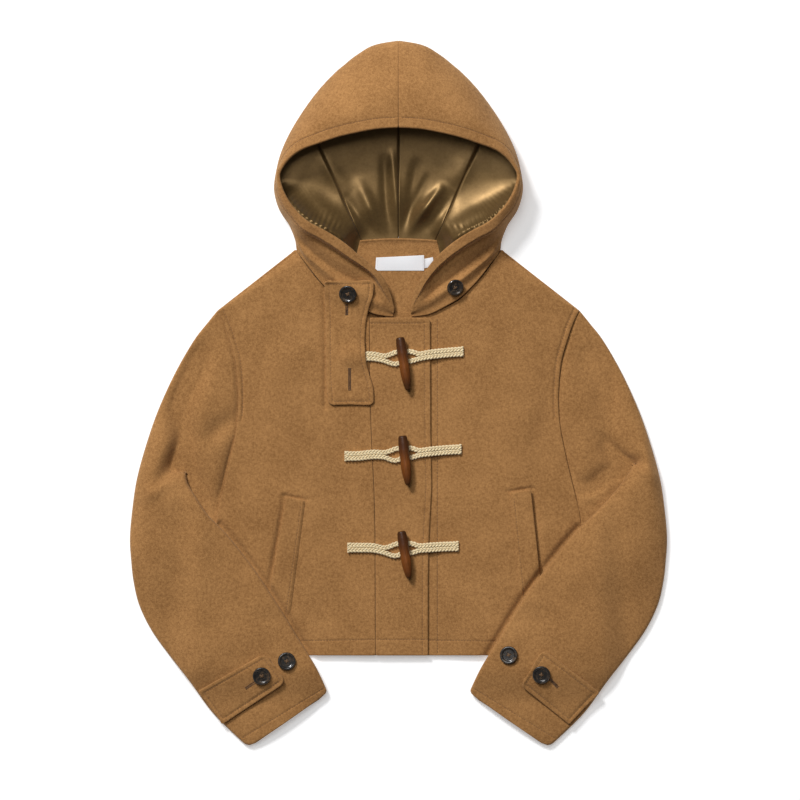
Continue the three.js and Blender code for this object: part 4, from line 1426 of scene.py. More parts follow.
@dataclass
class Hood:
    """The two halves of the hood, their turned hem, their lining and the facing inside the back neck."""

    width: float = 340.0
    kept: float = 20.0
    hem: float = 11.5
    stitch: float = 13.0
    collar_step: float = 10.5
    collar_ramp: float = 4.5
    panel_row: float = 4.0
    lining_end: float = 12.4
    tail: float = 24.0
    creases: tuple = (
        Crease(((10.0, 400.0), (48.0, 372.0), (88.0, 345.0)), 16.0, 1.8),
        Crease(((30.0, 352.0), (70.0, 344.0), (104.0, 326.0)), 12.0, -1.2),
        Crease(((120.0, 318.0), (138.0, 300.0), (150.0, 268.0)), 8.0, 1.4),
        Crease(((0.0, 420.0), (0.0, 340.0)), 8.0, 0.8),
    )
    lining_creases: tuple = (
        Crease(((-13.0, 192.0), (-30.0, 222.0), (-48.0, 262.0)), 8.0, -5.0),
        Crease(((-20.0, 196.0), (-44.0, 214.0), (-64.0, 244.0)), 6.0, 3.0),
        Crease(((-6.0, 192.0), (-15.0, 232.0), (-18.0, 292.0)), 6.0, 3.2),
        Crease(((-1.0, 196.0), (-3.0, 240.0), (-8.0, 300.0)), 5.0, -3.6),
        Crease(((10.0, 192.0), (12.0, 232.0), (22.0, 286.0)), 7.0, 3.4),
        Crease(((8.0, 194.0), (26.0, 222.0), (52.0, 256.0)), 6.0, -9.0),
        Crease(((20.0, 194.0), (46.0, 216.0), (66.0, 246.0)), 8.0, 5.0),
        Crease(((4.0, 196.0), (14.0, 226.0), (34.0, 268.0)), 6.0, 4.0),
        Crease(((-36.0, 196.0), (-72.0, 214.0), (-112.0, 250.0)), 9.0, -2.4),
        Crease(((30.0, 196.0), (66.0, 208.0), (110.0, 232.0)), 8.0, -3.0),
        Crease(((-60.0, 250.0), (-84.0, 280.0), (-92.0, 300.0)), 12.0, -3.0),
        Crease(((66.0, 262.0), (84.0, 290.0)), 12.0, -2.6),
    )

    def section(self, row: Array, across: Array) -> tuple[Array, Array]:
        """The outer face of the right half at those rows, and each row's share of the way to its fold."""
        table = spline(np.array(HOOD_ROWS).reshape(len(HOOD_ROWS), 9), row)
        made = np.zeros((len(row), len(across), 3))
        share = np.zeros((len(row), len(across)))
        for k, values in enumerate(table):
            rim, fold, neck = values[:3], values[3:6], values[6:9]
            upper = mix(rim, fold, 0.5)
            upper[2] = rim[2] - 0.2 * (rim[2] - fold[2])
            lower = mix(fold, neck, 0.5)
            lower[2] = neck[2] + 0.08 * (fold[2] - neck[2])
            fine = centripetal(np.array([rim, upper, fold, lower, neck]), np.linspace(0, 1, 161))
            fine[:, 2] = np.maximum(fine[:, 2], 0.0)
            length = run_length(fine)
            places = ends_kept(across, self.width, length[-1], self.kept)
            made[k] = np.stack([np.interp(places, length, fine[:, a]) for a in range(3)], axis=1)
            share[k] = np.interp(places, length, np.linspace(0, 1, 161))
        made[row <= 0, :, 0] = 0.0
        beyond_hem = smooth(self.hem, self.hem + self.collar_ramp, across[0] + self.place(made))
        step_down = beyond_hem * (1 - smooth(0.36, 0.5, share))
        beside_band = (smooth(10.2, 12.0, row) * smooth(17.0, 15.0, row))[:, None]
        made[..., 2] -= self.collar_step * step_down * beside_band
        return made, share

    def lean(self, face: Array, side: Side) -> Array:
        """Bring one front end of the hood nearer to the centre line, as the coat is worn shut."""
        if side is Side.LEFT:
            x, y = face[..., 0], face[..., 1]
            face[..., 0] -= 9.5 * smooth(178, 145, y) * (1 - smooth(45, 85, x))
        face[..., 0] *= side.value
        return face

    def rows(self, step: float, low: float, high: float) -> Array:
        """Row numbers a step apart along the rim and the fold together."""
        fine = np.linspace(low, high, 400)
        table = spline(np.array(HOOD_ROWS).reshape(len(HOOD_ROWS), 9), fine)
        along = np.maximum(run_length(table[:, :3]), run_length(table[:, 3:6]))
        count = int(math.ceil(along[-1] / step)) + 1
        return np.interp(np.linspace(0, along[-1], count), along, fine)

    def place(self, face: Array) -> Array:
        """How far each point lies from its row's first point along the row."""
        return np.stack([run_length(line) for line in face])

    def half(self, side: Side) -> None:
        """Make one half of the hood with its turned hem and its stitching."""
        last = float(len(HOOD_ROWS) - 1)
        row = self.rows(3.2, 0.0, last)
        across = samples(self.width, 4.0, (self.hem, self.stitch))
        face, share = self.section(row, across)
        from_rim = self.place(face)
        top = 1 - smooth(0.42, 0.5, share)
        face = creased(face, self.creases, top * smooth(4, 24, from_rim))
        normal = grid_normals(face[:, ::-1], False)[:, ::-1]
        groove = bell(from_rim - self.stitch, 1.2) * smooth(last, last - 0.6, row)[:, None]
        face = face - normal * (0.6 * groove)[..., None]
        doubled = 0.8 + 1.2 * smooth(10.6, 9.6, row)[:, None]
        doubled = doubled * smooth(last - 0.4, last - 1.6, row)[:, None]
        thick = WOOL + np.where(from_rim < self.hem, doubled, 0.0)
        thick = thick * (1 - 0.6 * smooth(15.5, 17.6, row)[:, None])
        face = self.lean(face, side)
        piece = cloth(f"cloth_hood_{side.label}", face, thick, turn=side is Side.RIGHT, bulge=1.4)
        dress(piece, WOOL_CLOTH, (f"hood_{side.label}",))
        f"front_{side.label}"
        line = face[:, near(across, self.stitch)]
        lift = normal[:, near(across, self.stitch)] * np.array([side.value, 1, 1]) * 0.15
        line = (line + lift)[1 : near(row, last - 0.5)]
        dress(STITCH.sew(f"stitches_hood_{side.label}", [line], 0.0), THREAD)
        RELIEF.add(face[near(row, 9.0) :])
        RELIEF.add(face[: near(row, 9.5), : near(across, self.width * 0.45)])

    def lining(self, side: Side, low: float, high: float, name: str) -> None:
        """Make one panel of the hood's lining, puckered along the hem and creased at the nape."""
        row = self.rows(1.5, low, high)
        across = samples(self.width, 3.4, (self.hem,))
        across = across[across > self.hem - 3.0]
        face, share = self.section(row, across)
        start = self.hem - 3.0
        from_rim = start + self.place(face)
        normal = grid_normals(face[:, ::-1], False)[:, ::-1]
        along = run_length(face[:, 0])[:, None]
        uneven = 1.0 + 0.45 * np.sin(along / 21.0 + 1.3 * side.value) + 0.3 * np.sin(along / 8.7)
        pucker = 0.5 * np.sin(along * 2 * np.pi / 7.4 + 1.1 * np.sin(along / 19.0)) * uneven
        pucker = pucker * np.exp(-np.maximum(from_rim - self.hem, 0.0) / 8.0)
        seam = np.minimum(row - low, high - row)
        valley = bell(seam * 26.0, 1.6)[:, None]
        inward = WOOL + 0.35 + LINING + 0.6 * smooth(0, 30, from_rim) + pucker - 0.7 * valley
        face = face - normal * inward[..., None]
        if low <= 0.0:
            face[0, :, 0] = 0.0
        wide = smooth(10.3, 8.9, row)[:, None]
        floor = smooth(0.5, 0.66, share) * smooth(1.0, 0.9, share) * wide
        face[..., 2] += 5.0 * floor + self.hammock(face[..., :2], side) * smooth(0.5, 0.6, share) * wide
        face[..., 2] -= 0.9 * valley * floor
        face = self.lean(face, side)
        face = creased(face, self.lining_creases, floor)
        tail = (self.tail * smooth(10.6, 8.6, row) + 0.01)[:, None]
        ends = []
        for part in (0.25, 0.5, 0.75, 1.0):
            lower = face[:, -1].copy()
            lower[:, 1] -= tail[:, 0] * part
            lower[:, 2] = np.maximum(lower[:, 2] * (1 - 0.9 * part**2), BACK_TOP + LINING + 0.3)
            ends.append(lower)
        face = np.concatenate([face] + [e[:, None] for e in ends], axis=1)
        share = np.concatenate([share, np.ones((len(row), 4))], axis=1)
        piece = cloth(f"cloth_{name}", face, LINING, turn=side is Side.LEFT, bulge=0.35)
        dress(piece, SATIN_CLOTH, (name,))
        f"hood_{side.label}"
        RELIEF.add(face[:, share[0] > 0.5])

    def hammock(self, xy: Array, side: Side) -> Array:
        """How far the loose lining rises towards the lower part of the rim, with its gathers there."""
        rim = spline(np.array(HOOD_ROWS)[:, 0], np.linspace(6.5, 14.0, 80))
        best = np.full(xy.shape[:-1], 1e9)
        along = np.zeros_like(best)
        height = np.zeros_like(best)
        inside = np.zeros_like(best)
        stations = run_length(rim[:, :2])
        for k in range(len(rim) - 1):
            start, run = rim[k, :2], rim[k + 1, :2] - rim[k, :2]
            share = np.clip(((xy - start) @ run) / float(run @ run), 0.0, 1.0)
            offset = xy - (start + share[..., None] * run)
            distance = np.linalg.norm(offset, axis=-1)
            closer = distance < best
            best = np.where(closer, distance, best)
            along = np.where(closer, stations[k] + share * np.linalg.norm(run), along)
            height = np.where(closer, mix(rim[k, 2], rim[k + 1, 2], share), height)
            turn = run[0] * offset[..., 1] - run[1] * offset[..., 0]
            inside = np.where(closer, np.sign(-turn), inside)
        depth = best * inside
        ends = smooth(270, 222, xy[..., 1]) * smooth(stations[-1], stations[-1] - 20, along)
        rise = 0.66 * height * smooth(-8, -1, depth) * np.exp(-np.maximum(depth - 4.0, 0.0) / 19.0) * ends
        gather = np.sin(along * 2 * np.pi / 6.6 + 1.4 * np.sin(along / 17.0 + side.value) + 0.10 * depth)
        uneven = 0.75 + 0.35 * np.sin(along / 11.0 + 2.0 * side.value)
        near_rim = smooth(1, 4, depth) * np.exp(-np.maximum(depth - 6.0, 0.0) / (5.0 + 2.5 * uneven))
        return rise + 1.3 * gather * uneven * near_rim * ends

    def facing(self) -> None:
        """Make the facing inside the back neck, with its upper edge turned over."""
        table = np.array([(29, 100.0), (44, 112), (56, 137), (55, 162), (48, 192.5)], dtype=float)
        y_length = 92.0
        along = samples(y_length, 3.0, (y_length - 4.0,))
        values = spline(table, np.interp(along, [0, 16, 40, 64, y_length], [0, 1, 2, 3, 4]))
        across = np.linspace(-1, 1, 50)
        x = values[:, :1] * across[None, :]
        y = values[:, 1:] + 2.4 * (1 - across[None, :] ** 2) * smooth(20, 80, along)[:, None]
        z = 5.4 + 2.2 * bell(y_length - along, 5.0)[:, None] + 0.6 * bell(across * 60 - 20, 10.0)[None, :]
        z = z - 0.6 * bell(across, 0.02)[None, :] * smooth(30, 60, along)[:, None]
        face = np.stack([x, y, np.broadcast_to(z, x.shape)], axis=-1)
        RELIEF.add(face)
        piece = dress(cloth("cloth_neck_facing", face, WOOL), WOOL_CLOTH, ("neck_facing",))

    def label(self, name: str, corners: list[tuple[float, float]], lift: float) -> None:
        """Make a blank label of woven tape, sewn along its ends."""
        low, low_right, top_right, top = (np.array(p, dtype=float) for p in corners)
        u = np.linspace(0, 1, 30)[None, :, None]
        v = np.linspace(0, 1, 14)[:, None, None]
        plan = mix(mix(low, low_right, u), mix(top, top_right, u), v)
        face = laid(plan, LABEL_CLOTH, 1.0)
        face[..., 2] += lift * np.sin(np.pi * v[..., 0]) * np.sin(np.pi * u[..., 0])
        RELIEF.add(face)
        piece = dress(cloth(f"cloth_{name}", face, LABEL_CLOTH, bulge=0.2), TAPE, (name,))
        fine = Thread(1.8, 1.2, 0.16)
        dress(fine.sew(f"stitches_{name}", [face[1:-1, 1], face[1:-1, -2]], 0.05), WHITE_THREAD)

    def build(self) -> None:
        """Make the lining, both halves, the facing and the labels."""
        for side in (Side.LEFT, Side.RIGHT):
            self.lining(side, 0.0, self.panel_row, f"lining_centre_{side.label}")
            self.lining(side, self.panel_row, self.lining_end, f"lining_side_{side.label}")
        self.facing()
        self.label("main_label", [(-29, 154.5), (32, 154.5), (32, 174), (-28, 171)], 0.5)
        self.label("size_label", [(32.4, 157.5), (45, 160), (43, 171.5), (32.4, 169.5)], 0.6)
        for side in (Side.LEFT, Side.RIGHT):
            self.half(side)


# Tabs, straps and buttonholes


TAB_ROWS = [
    (-13.0, -82.0, -35.0),
    (-6.0, -87.5, -30.5),
    (8.0, -89.0, -31.5),
    (24.0, -90.0, -36.0),
    (37.0, -90.3, -39.5),
    (47.0, -90.5, -41.0),
    (58.0, -90.6, -41.6),
    (70.0, -90.6, -41.8),
    (90.0, -90.6, -40.5),
    (108.0, -91.0, -36.5),
    (124.0, -92.0, -31.5),
    (136.0, -92.5, -30.5),
    (142.0, -87.5, -35.0),
]


@dataclass
class Strap:
    """A flat strap with rounded corners, an inset stitch line and buttonholes."""

    name: str
    edges: Array
    nodes: tuple[str, ...]
    on: tuple[str, ...]
    corners: tuple[float, float] = (8.0, 8.0)
    slots: tuple = ()
    inset: float = 5.6

    def build(self) -> None:
        """Make the strap from its two long edges, given as rows of left x, y, right x, y."""
        middle = (self.edges[:, 0:2] + self.edges[:, 2:4]) / 2
        row_at = run_length(middle)
        length = float(row_at[-1])
        along = samples(length, 2.4, (self.inset, length - self.inset), 0.9)
        values = spline(self.edges, np.interp(along, row_at, np.arange(len(row_at))))
        left, right = values[:, 0:2], values[:, 2:4]
        width = np.linalg.norm(right - left, axis=1)
        nominal = float(width.mean())
        across = samples(nominal, 2.4, (self.inset, nominal - self.inset), 0.9)
        cut_in = np.zeros_like(along)
        for radius, depth in ((self.corners[0], along), (self.corners[1], length - along)):
            reach = np.clip(radius - depth, 0.0, radius)
            cut_in = np.maximum(cut_in, radius - np.sqrt(np.maximum(radius**2 - reach**2, 0.0)))
        share = ends_kept(across[None, :], nominal, (width - 2 * cut_in)[:, None], 10.0) / width[:, None]
        share = share + (cut_in / width)[:, None]
        plan = mix(left[:, None], right[:, None], share[..., None])
        face = laid(plan, TAB_CLOTH + 0.7, 2.0, 0.15, 24)
        from_side = np.minimum(share, 1 - share) * width[:, None]
        from_end = np.minimum(along, length - along)[:, None]
        inside = np.minimum(from_side, np.broadcast_to(from_end, from_side.shape))
        face[..., 2] -= 0.55 * bell(inside - self.inset, 1.1)
        face[..., 2] += 0.35 * smooth(self.inset, self.inset + 5, inside)
        for slot in self.slots:
            face[..., 2] -= 1.1 * bell(path_distance(plan, np.array(slot)), 1.1)
        RELIEF.add(face)
        piece = dress(cloth(f"cloth_{self.name}", face, TAB_CLOTH + 0.5, bulge=1.5), WOOL_CLOTH, self.nodes)
        low, high = near(along, self.inset), near(along, length - self.inset)
        first, last = near(across, self.inset), near(across, nominal - self.inset)
        ring = [face[low, first : last + 1], face[low : high + 1, last]]
        ring += [face[high, first : last + 1], face[low : high + 1, first]]
        dress(STITCH.sew(f"stitches_{self.name}", ring), THREAD)
        for k, slot in enumerate(self.slots):
            self.buttonhole(f"buttonhole_{self.name}_{k + 1}", np.array(slot))

    def buttonhole(self, name: str, ends: Array) -> None:
        """Work a row of close stitches round a slit."""
        way = turned(ends[-1] - ends[0])
        side = np.array([-way[1], way[0]])
        length = float(np.linalg.norm(ends[-1] - ends[0]))
        parts = []
        for place in np.arange(0.0, length, 0.62):
            for sign in (-1.0, 1.0):
                points = ends[0] + way * place + side * sign * np.array([[0.25], [0.9], [1.6]])
                z = RELIEF.at(points) + np.array([-0.25, 0.22, 0.0])
                parts.append(tube(np.concatenate([points, z[:, None]], axis=1), 0.27, 6))
        for end, sign in ((ends[0], -1.0), (ends[-1], 1.0)):
            points = end + way * sign * 0.5 + side * np.array([[-1.8], [0.0], [1.8]])
            z = RELIEF.at(points) + 0.15
            parts.append(tube(np.concatenate([points, z[:, None]], axis=1), 0.42, 6))
        dress(gathered(name, parts), HOLE_THREAD)


def throat_tab() -> Strap:
    """The tab that closes the throat, waisted in the middle."""
    table = np.array(TAB_ROWS)[1:-1]
    table[0, 0], table[-1, 0] = -13.0, 142.0
    edges = np.stack([table[:, 1], table[:, 0], table[:, 2], table[:, 0]], axis=1)
    slots = (((-64.5, 112.0), (-64.5, 100.0)), ((-61.0, 32.0), (-61.0, 6.0)))
    return Strap("throat_tab", edges, ("throat_tab",), ("front_viewer_left",), (7.0, 7.0), slots)


def cuff_strap(side: Side) -> Strap:
    """A strap across the outer half of a cuff."""
    corners = {
        Side.LEFT: ((-167, -322), (-140, -359), (-219.5, -412), (-250, -370)),
        Side.RIGHT: ((180, -317), (152, -363), (213, -412), (251, -372)),
    }[side]
    slots = {
        Side.LEFT: (((-178.0, -358.0), (-190.0, -366.0)),),
        Side.RIGHT: (((189.5, -355.5), (198.0, -364.5)),),
    }[side]
    top, low, low_end, top_end = (np.array(p, dtype=float) for p in corners)
    share = np.linspace(0, 1, 9)[:, None]
    first, second = mix(top, top_end, share), mix(low, low_end, share)
    pair = (second, first) if side is Side.LEFT else (first, second)
    edges = np.concatenate(pair, axis=1)
    name = f"cuff_strap_{side.label}"
    return Strap(name, edges, (name,), (f"sleeve_{side.label}",), (10.0, 2.5), slots)


# Cords, toggles and buttons


@dataclass
class Braid:
    """A flat braid of three plies that follows a path."""

    lateral: float = 2.1
    ply: float = 1.3
    lift: float = 1.25
    period: float = 12.6

    def strand(self, plan: Array, base: Array) -> list[tuple[Array, Array]]:
        """The three plies of one strand, along a plan line with the height of its middle."""
        path = evenly(np.concatenate([plan, base[:, None]], axis=1), 0.9)
        along = run_length(path)
        way = turned(np.gradient(path[:, :2], axis=0))
        side = np.stack([-way[:, 1], way[:, 0]], axis=1)
        parts = []
        for k in range(3):
            phase = 2 * np.pi * (along / self.period + k / 3.0)
            ply = path.copy()
            flare = 1.0 + 0.3 * np.exp(-along / 2.4)
            ply[:, :2] += side * (self.lateral * flare * np.sin(phase))[:, None]
            ply[:, 2] += self.lift * np.sin(2 * phase)
            parts.append(tube(ply, self.ply, 10))
        return parts

    def cover(self, plan: Array, base: Array) -> None:
        """Note the height of a strand, so that later pieces lie over it."""
        way = turned(np.gradient(plan, axis=0))
        side = np.stack([-way[:, 1], way[:, 0]], axis=1)
        rows = [np.concatenate([plan + side * shift, base[:, None] + rise], axis=1)
                for shift, rise in ((-3.4, 0.0), (-1.7, 2.0), (0.0, 2.4), (1.7, 2.0), (3.4, 0.0))]
        RELIEF.add(np.stack(rows, axis=1))


CLOSINGS = (
    (47.5, 80.5, 53.5, -66.0, 47.5, (1.9, 71.2), (11.9, 4.4)),
    (-73.0, 78.0, -68.5, -66.5, -76.9, (4.9, -51.4), (11.9, -113.9)),
    (-192.0, 74.5, -189.6, -63.0, -191.3, (3.6, -170.6), (13.1, -230.0)),
)


@dataclass
class Closing:
    """One toggle with the cord that holds it and the loop that takes it."""

    number: int
    half: float = 3.0
    braid: Braid = field(default_factory=Braid)

    def rest(self, plan: Array) -> Array:
        """The height of a strand's middle over what lies below it."""
        floor = RELIEF.at(plan, 2.6) + self.braid.ply + 0.75
        height = floor.copy()
        for _ in range(12):
            padded = np.pad(height, 2, mode="edge")
            mean = (padded[:-4] + padded[1:-3] + padded[2:-2] + padded[3:-1] + padded[4:]) / 5
            height = np.maximum(mean, floor - 0.2)
        return height

    def build(self) -> None:
        """Make the two cords and the toggle."""
        row, right, right_y, left, left_y, top, end = CLOSINGS[self.number]
        top, end = np.array(top), np.array(end)
        loop, laid_down = [], []
        for sign in (-1.0, 1.0):
            points = [
                (right, right_y + sign * self.half),
                (right - 18, right_y + sign * self.half - 0.2 * (right_y - row)),
                (40.0, mix(right_y, row, 0.6) + sign * self.half),
                (26.0, row + sign * self.half),
                (19.5, row + sign * 5.0),
                (12.0, row + sign * 6.2),
                (4.0, row + sign * 4.4),
            ]
            plan = spline(np.array(points), np.linspace(0, len(points) - 1, 60))
            loop += self.braid.strand(plan, self.rest(plan))
            laid_down.append((plan, self.rest(plan)))
        loop_name = f"loop_cord_{self.number + 1}"
        dress(gathered(f"braid_{loop_name}", loop), YARN, (loop_name,))
        held = []
        for sign in (-1.0, 1.0):
            points = [
                (left, left_y + sign * self.half),
                (left + 16, left_y + sign * self.half),
                (-32.0, mix(left_y, row, 0.5) + sign * self.half),
                (-18.0, row - 2.5 + sign * self.half),
                (-9.0, row - 3.0 + sign * 5.8),
                (-2.0, row - 2.0 + sign * 7.4),
                (6.0, row - 1.0 + sign * 4.5),
            ]
            plan = spline(np.array(points), np.linspace(0, len(points) - 1, 60))
            held += self.braid.strand(plan, self.rest(plan))
            laid_down.append((plan, self.rest(plan)))
        cord_name = f"toggle_cord_{self.number + 1}"
        dress(gathered(f"braid_{cord_name}", held), YARN, (cord_name,))
        for plan, base in laid_down:
            self.braid.cover(plan, base)
        self.toggle(top, end)

    def toggle(self, top: Array, end: Array) -> None:
        """Turn the toggle on a lathe line: a flat cut upper end, a waist and a tapered lower end."""
        length = float(np.linalg.norm(end - top))
        profile = [(0.0, 0.0), (3.6, 0.0), (4.7, 0.7), (5.4, 2.4), (6.2, 10.0), (6.6, 20.0), (6.3, 27.0)]
        profile += [(6.1, 33.0), (6.2, 39.0), (6.1, 45.0), (5.5, 52.0), (4.5, 59.0)]
        profile = [(r, z * length / 68.0) for r, z in profile]
        profile += [(3.4, length - 3.2), (2.3, length - 1.0), (0.0, length)]
        made = spun(f"wood_toggle_{self.number + 1}", profile, 40)
        way = turned((end - top)[None, :])[0]
        centre = PLACKET_TOP + 2.2 + 6.8
        turn = Matrix(((way[1], 0, way[0], 0), (-way[0], 0, way[1], 0), (0, -1, 0, 0), (0, 0, 0, 1)))
        if turn.to_3x3().determinant() < 0:
            turn = Matrix(((-way[1], 0, way[0], 0), (way[0], 0, way[1], 0), (0, -1, 0, 0), (0, 0, 0, 1)))
        place = Matrix.Translation(Vector((top[0] * MM, top[1] * MM, centre * MM)))
        made.data.transform(place @ turn)
        dress(made, WOOD, (f"toggle_{self.number + 1}",))


def spun(name: str, profile: list[tuple[float, float]], steps: int) -> bpy.types.Object:
    """Spin a profile of radius and height, in millimetres, round +Z at the origin.

    Args:
        name: The object's name.
        profile: The radius and height of each point, from one end of the axis to the other.
        steps: How many steps make the full turn.

    Returns:
        The object, with its turn and its height as a flat map.
    """
    points = np.array(profile)
    along = run_length(points)
    fine = np.unique(np.concatenate([np.linspace(0, along[-1], 60), along]))
    points = np.stack([np.interp(fine, along, points[:, k]) for k in range(2)], axis=1)
    mesh = bpy.data.meshes.new(name)
    places = [(r * MM, 0.0, z * MM) for r, z in points]
    mesh.from_pydata(places, [(k, k + 1) for k in range(len(places) - 1)], [])
    made = bpy.data.objects.new(name, mesh)
    bpy.context.scene.collection.objects.link(made)
    bpy.ops.object.select_all(action="DESELECT")
    bpy.context.view_layer.objects.active = made
    made.select_set(True)
    bpy.ops.object.mode_set(mode="EDIT")
    bpy.ops.mesh.select_all(action="SELECT")
    bpy.ops.mesh.spin(steps=steps, angle=2 * math.pi, center=(0, 0, 0), axis=(0, 0, 1))
    bpy.ops.mesh.select_all(action="SELECT")
    bpy.ops.mesh.remove_doubles(threshold=1e-6)
    bpy.ops.mesh.normals_make_consistent(inside=False)
    bpy.ops.object.mode_set(mode="OBJECT")
    made.select_set(False)
    layer = mesh.uv_layers.new(name="flat_cloth")
    for polygon in mesh.polygons:
        middle = math.atan2(polygon.center.y, polygon.center.x)
        for corner in polygon.loop_indices:
            co = mesh.vertices[mesh.loops[corner].vertex_index].co
            angle = math.atan2(co.y, co.x) if co.xy.length > 1e-6 else middle
            angle += 2 * math.pi * round((middle - angle) / (2 * math.pi))
            layer.data[corner].uv = (angle * 6 * MM, co.z)
    mesh.shade_smooth()
    return made


@dataclass
class Buttons:
    """The six sewn-on buttons, each with a rim and four holes."""

    radius: float = 11.2
    height: float = 3.6
    hole: float = 1.05
    spread: float = 2.5
    places: tuple = (
        ("button_tab", -63.0, 125.5, 1.0, 20.0),
        ("button_neck", 70.5, 133.8, 0.94, -15.0),
        ("button_strap_viewer_left_1", -139.5, -332.5, 1.0, 35.0),
        ("button_strap_viewer_left_2", -170.5, -350.5, 1.0, 10.0),
        ("button_strap_viewer_right_1", 137.5, -325.0, 1.0, -25.0),
        ("button_strap_viewer_right_2", 178.0, -349.0, 1.0, 40.0),
    )

    def blank(self) -> bpy.types.Object:
        """Turn the disc and drill its four holes."""
        r, h = self.radius, self.height
        profile = [(0, 0), (r - 2.2, 0), (r - 0.5, 0.9), (r, 2.0), (r - 0.25, 2.9), (r - 0.9, h - 0.1)]
        profile += [(r - 1.6, h), (r - 2.6, h - 0.15), (r - 3.4, h - 0.8), (r - 4.4, h - 1.25), (0, h - 1.35)]
        disc = spun("button_blank", profile, 56)
        for k in range(4):
            angle = math.pi / 4 + k * math.pi / 2
            at = (self.spread * math.cos(angle) * MM, self.spread * math.sin(angle) * MM, h / 2 * MM)
            bpy.ops.mesh.primitive_cylinder_add(
                radius=self.hole * MM, depth=3 * h * MM, location=at, vertices=20
            )
            drill = bpy.context.object
            made = disc.modifiers.new("hole", "BOOLEAN")
            made.operation = "DIFFERENCE"
            made.object = drill
            bpy.context.view_layer.objects.active = disc
            bpy.ops.object.modifier_apply(modifier="hole")
            bpy.data.objects.remove(drill, do_unlink=True)
        return disc

    def build(self) -> None:
        """Set a copy of the blank at each place and sew it on."""
        blank = self.blank()
        for name, x, y, scale, turn in self.places:
            made = bpy.data.objects.new(f"horn_{name}", blank.data.copy())
            bpy.context.scene.collection.objects.link(made)
            around = np.array([(x + 8 * math.cos(a), y + 8 * math.sin(a)) for a in np.linspace(0, 6.28, 12)])
            heights = RELIEF.at(around)
            slopes = np.linalg.lstsq(np.column_stack([around, np.ones(12)]), heights, rcond=None)[0]
            normal = Vector((-slopes[0], -slopes[1], 1.0)).normalized()
            tilt = Vector((0, 0, 1)).rotation_difference(normal).to_matrix().to_4x4()
            z = float(heights.max()) * 0.5 + float(heights.mean()) * 0.5 + 0.5
            matrix = Matrix.Translation(Vector((x, y, z)) * MM) @ tilt
            matrix = matrix @ Matrix.Rotation(math.radians(turn), 4, "Z") @ Matrix.Scale(scale, 4)
            made.data.transform(matrix)
            dress(made, HORN, (name,))
            self.sew(name, matrix)
        bpy.data.objects.remove(blank, do_unlink=True)

    def sew(self, name: str, matrix: Matrix) -> None:
        """Cross two pairs of threads through the holes."""
        parts = []
        top = self.height - 1.35
        for angle in (math.pi / 4, -math.pi / 4):
            way = np.array([math.cos(angle), math.sin(angle)])
            side = np.array([-way[1], way[0]])
            for shift in (-0.32, 0.32):
                reach = np.array([-1.12, -1.0, -0.5, 0.0, 0.5, 1.0, 1.12])[:, None] * self.spread
                plan = way * reach + side * shift
                z = top + np.array([-0.9, 0.0, 0.55, 0.75, 0.55, 0.0, -0.9])
                local = np.concatenate([plan, z[:, None]], axis=1)
                placed = np.array([matrix @ Vector(p * MM) for p in local]) / MM
                parts.append(tube(placed, 0.36, 8))
        dress(gathered(f"thread_{name}", parts), DARK_THREAD)


# The studio


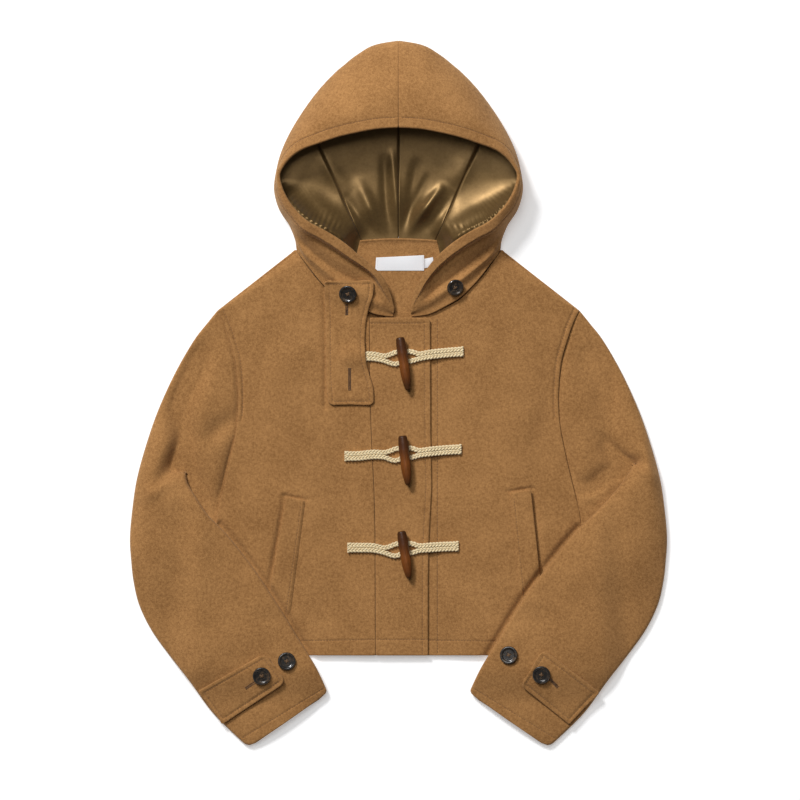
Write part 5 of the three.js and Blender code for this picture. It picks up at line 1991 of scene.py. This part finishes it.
@dataclass(frozen=True)
class Studio:
    """A pale floor, soft light from the upper left, and a camera straight above."""

    view_x: float = 1.9
    view_y: float = -6.9
    distance: float = 8.0
    lens: float = 288.0

    def floor(self) -> None:
        """Lay a plain, nearly white floor just below the coat."""
        bpy.ops.mesh.primitive_plane_add(size=12.0, location=(0, 0, 0))
        plane = bpy.context.object
        plane.name = "studio_floor"
        plane.data.transform(Matrix.Translation((0, 0, -0.0004)))
        made = bpy.data.materials.new("studio_floor")
        made.use_nodes = True
        surface = made.node_tree.nodes["Principled BSDF"]
        surface.inputs["Base Color"].default_value = (0.86, 0.86, 0.865, 1)
        surface.inputs["Roughness"].default_value = 0.9
        surface.inputs["Specular IOR Level"].default_value = 0.1
        surface.inputs["Emission Color"].default_value = (1, 1, 1, 1)
        surface.inputs["Emission Strength"].default_value = 0.36
        plane.data.materials.append(made)

    def lamp(
        self, name: str, azimuth: float, elevation: float, away: float, size: float, power: float
    ) -> None:
        """Hang a square soft light that looks at the coat, so far away in metres."""
        data = bpy.data.lights.new(name, "AREA")
        data.shape = "SQUARE"
        data.size = size
        data.energy = power
        lamp = bpy.data.objects.new(name, data)
        bpy.context.scene.collection.objects.link(lamp)
        flat = math.cos(math.radians(elevation)) * away
        turn = math.radians(azimuth)
        rise = away * math.sin(math.radians(elevation))
        lamp.location = (flat * math.cos(turn), flat * math.sin(turn), rise)
        lamp.rotation_euler = (-Vector(lamp.location)).to_track_quat("-Z", "Y").to_euler()

    def build(self) -> None:
        """Set up the floor, the lights, the world and the camera."""
        scene = bpy.context.scene
        self.floor()
        self.lamp("key_softbox", 122.0, 42.0, 9.0, 1.8, 645.0)
        self.lamp("high_softbox", 112.0, 68.0, 6.0, 2.6, 112.0)
        world = bpy.data.worlds.new("studio_world")
        world.use_nodes = True
        world.node_tree.nodes["Background"].inputs["Color"].default_value = (1, 1, 1, 1)
        world.node_tree.nodes["Background"].inputs["Strength"].default_value = 0.08
        scene.world = world
        data = bpy.data.cameras.new("photo_camera")
        data.type = "PERSP"
        data.sensor_width = 36.0
        data.lens = self.lens
        data.dof.use_dof = False
        data.clip_end = 50.0
        camera = bpy.data.objects.new("photo_camera", data)
        camera.location = (self.view_x * MM, self.view_y * MM, self.distance)
        scene.collection.objects.link(camera)
        scene.camera = camera
        scene.render.resolution_x = 800
        scene.render.resolution_y = 800
        scene.view_settings.view_transform = "Standard"
        scene.view_settings.look = "None"


def main() -> None:
    """Build the coat, the studio and the camera."""
    logging.basicConfig(level=logging.INFO, format="%(name)s %(message)s")
    body = Body()
    body.build_back()
    body.build_fronts()
    body.build_placket()
    for side in (Side.LEFT, Side.RIGHT):
        Welt(side).build()
    for side in (Side.LEFT, Side.RIGHT):
        Sleeve(side).build()
        cuff_strap(side).build()
    Hood().build()
    for number in (1, 2):
        Closing(number).build()
    Closing(0).build()
    throat_tab().build()
    Buttons().build()
    Studio().build()


if __name__ == "__main__":
    main()
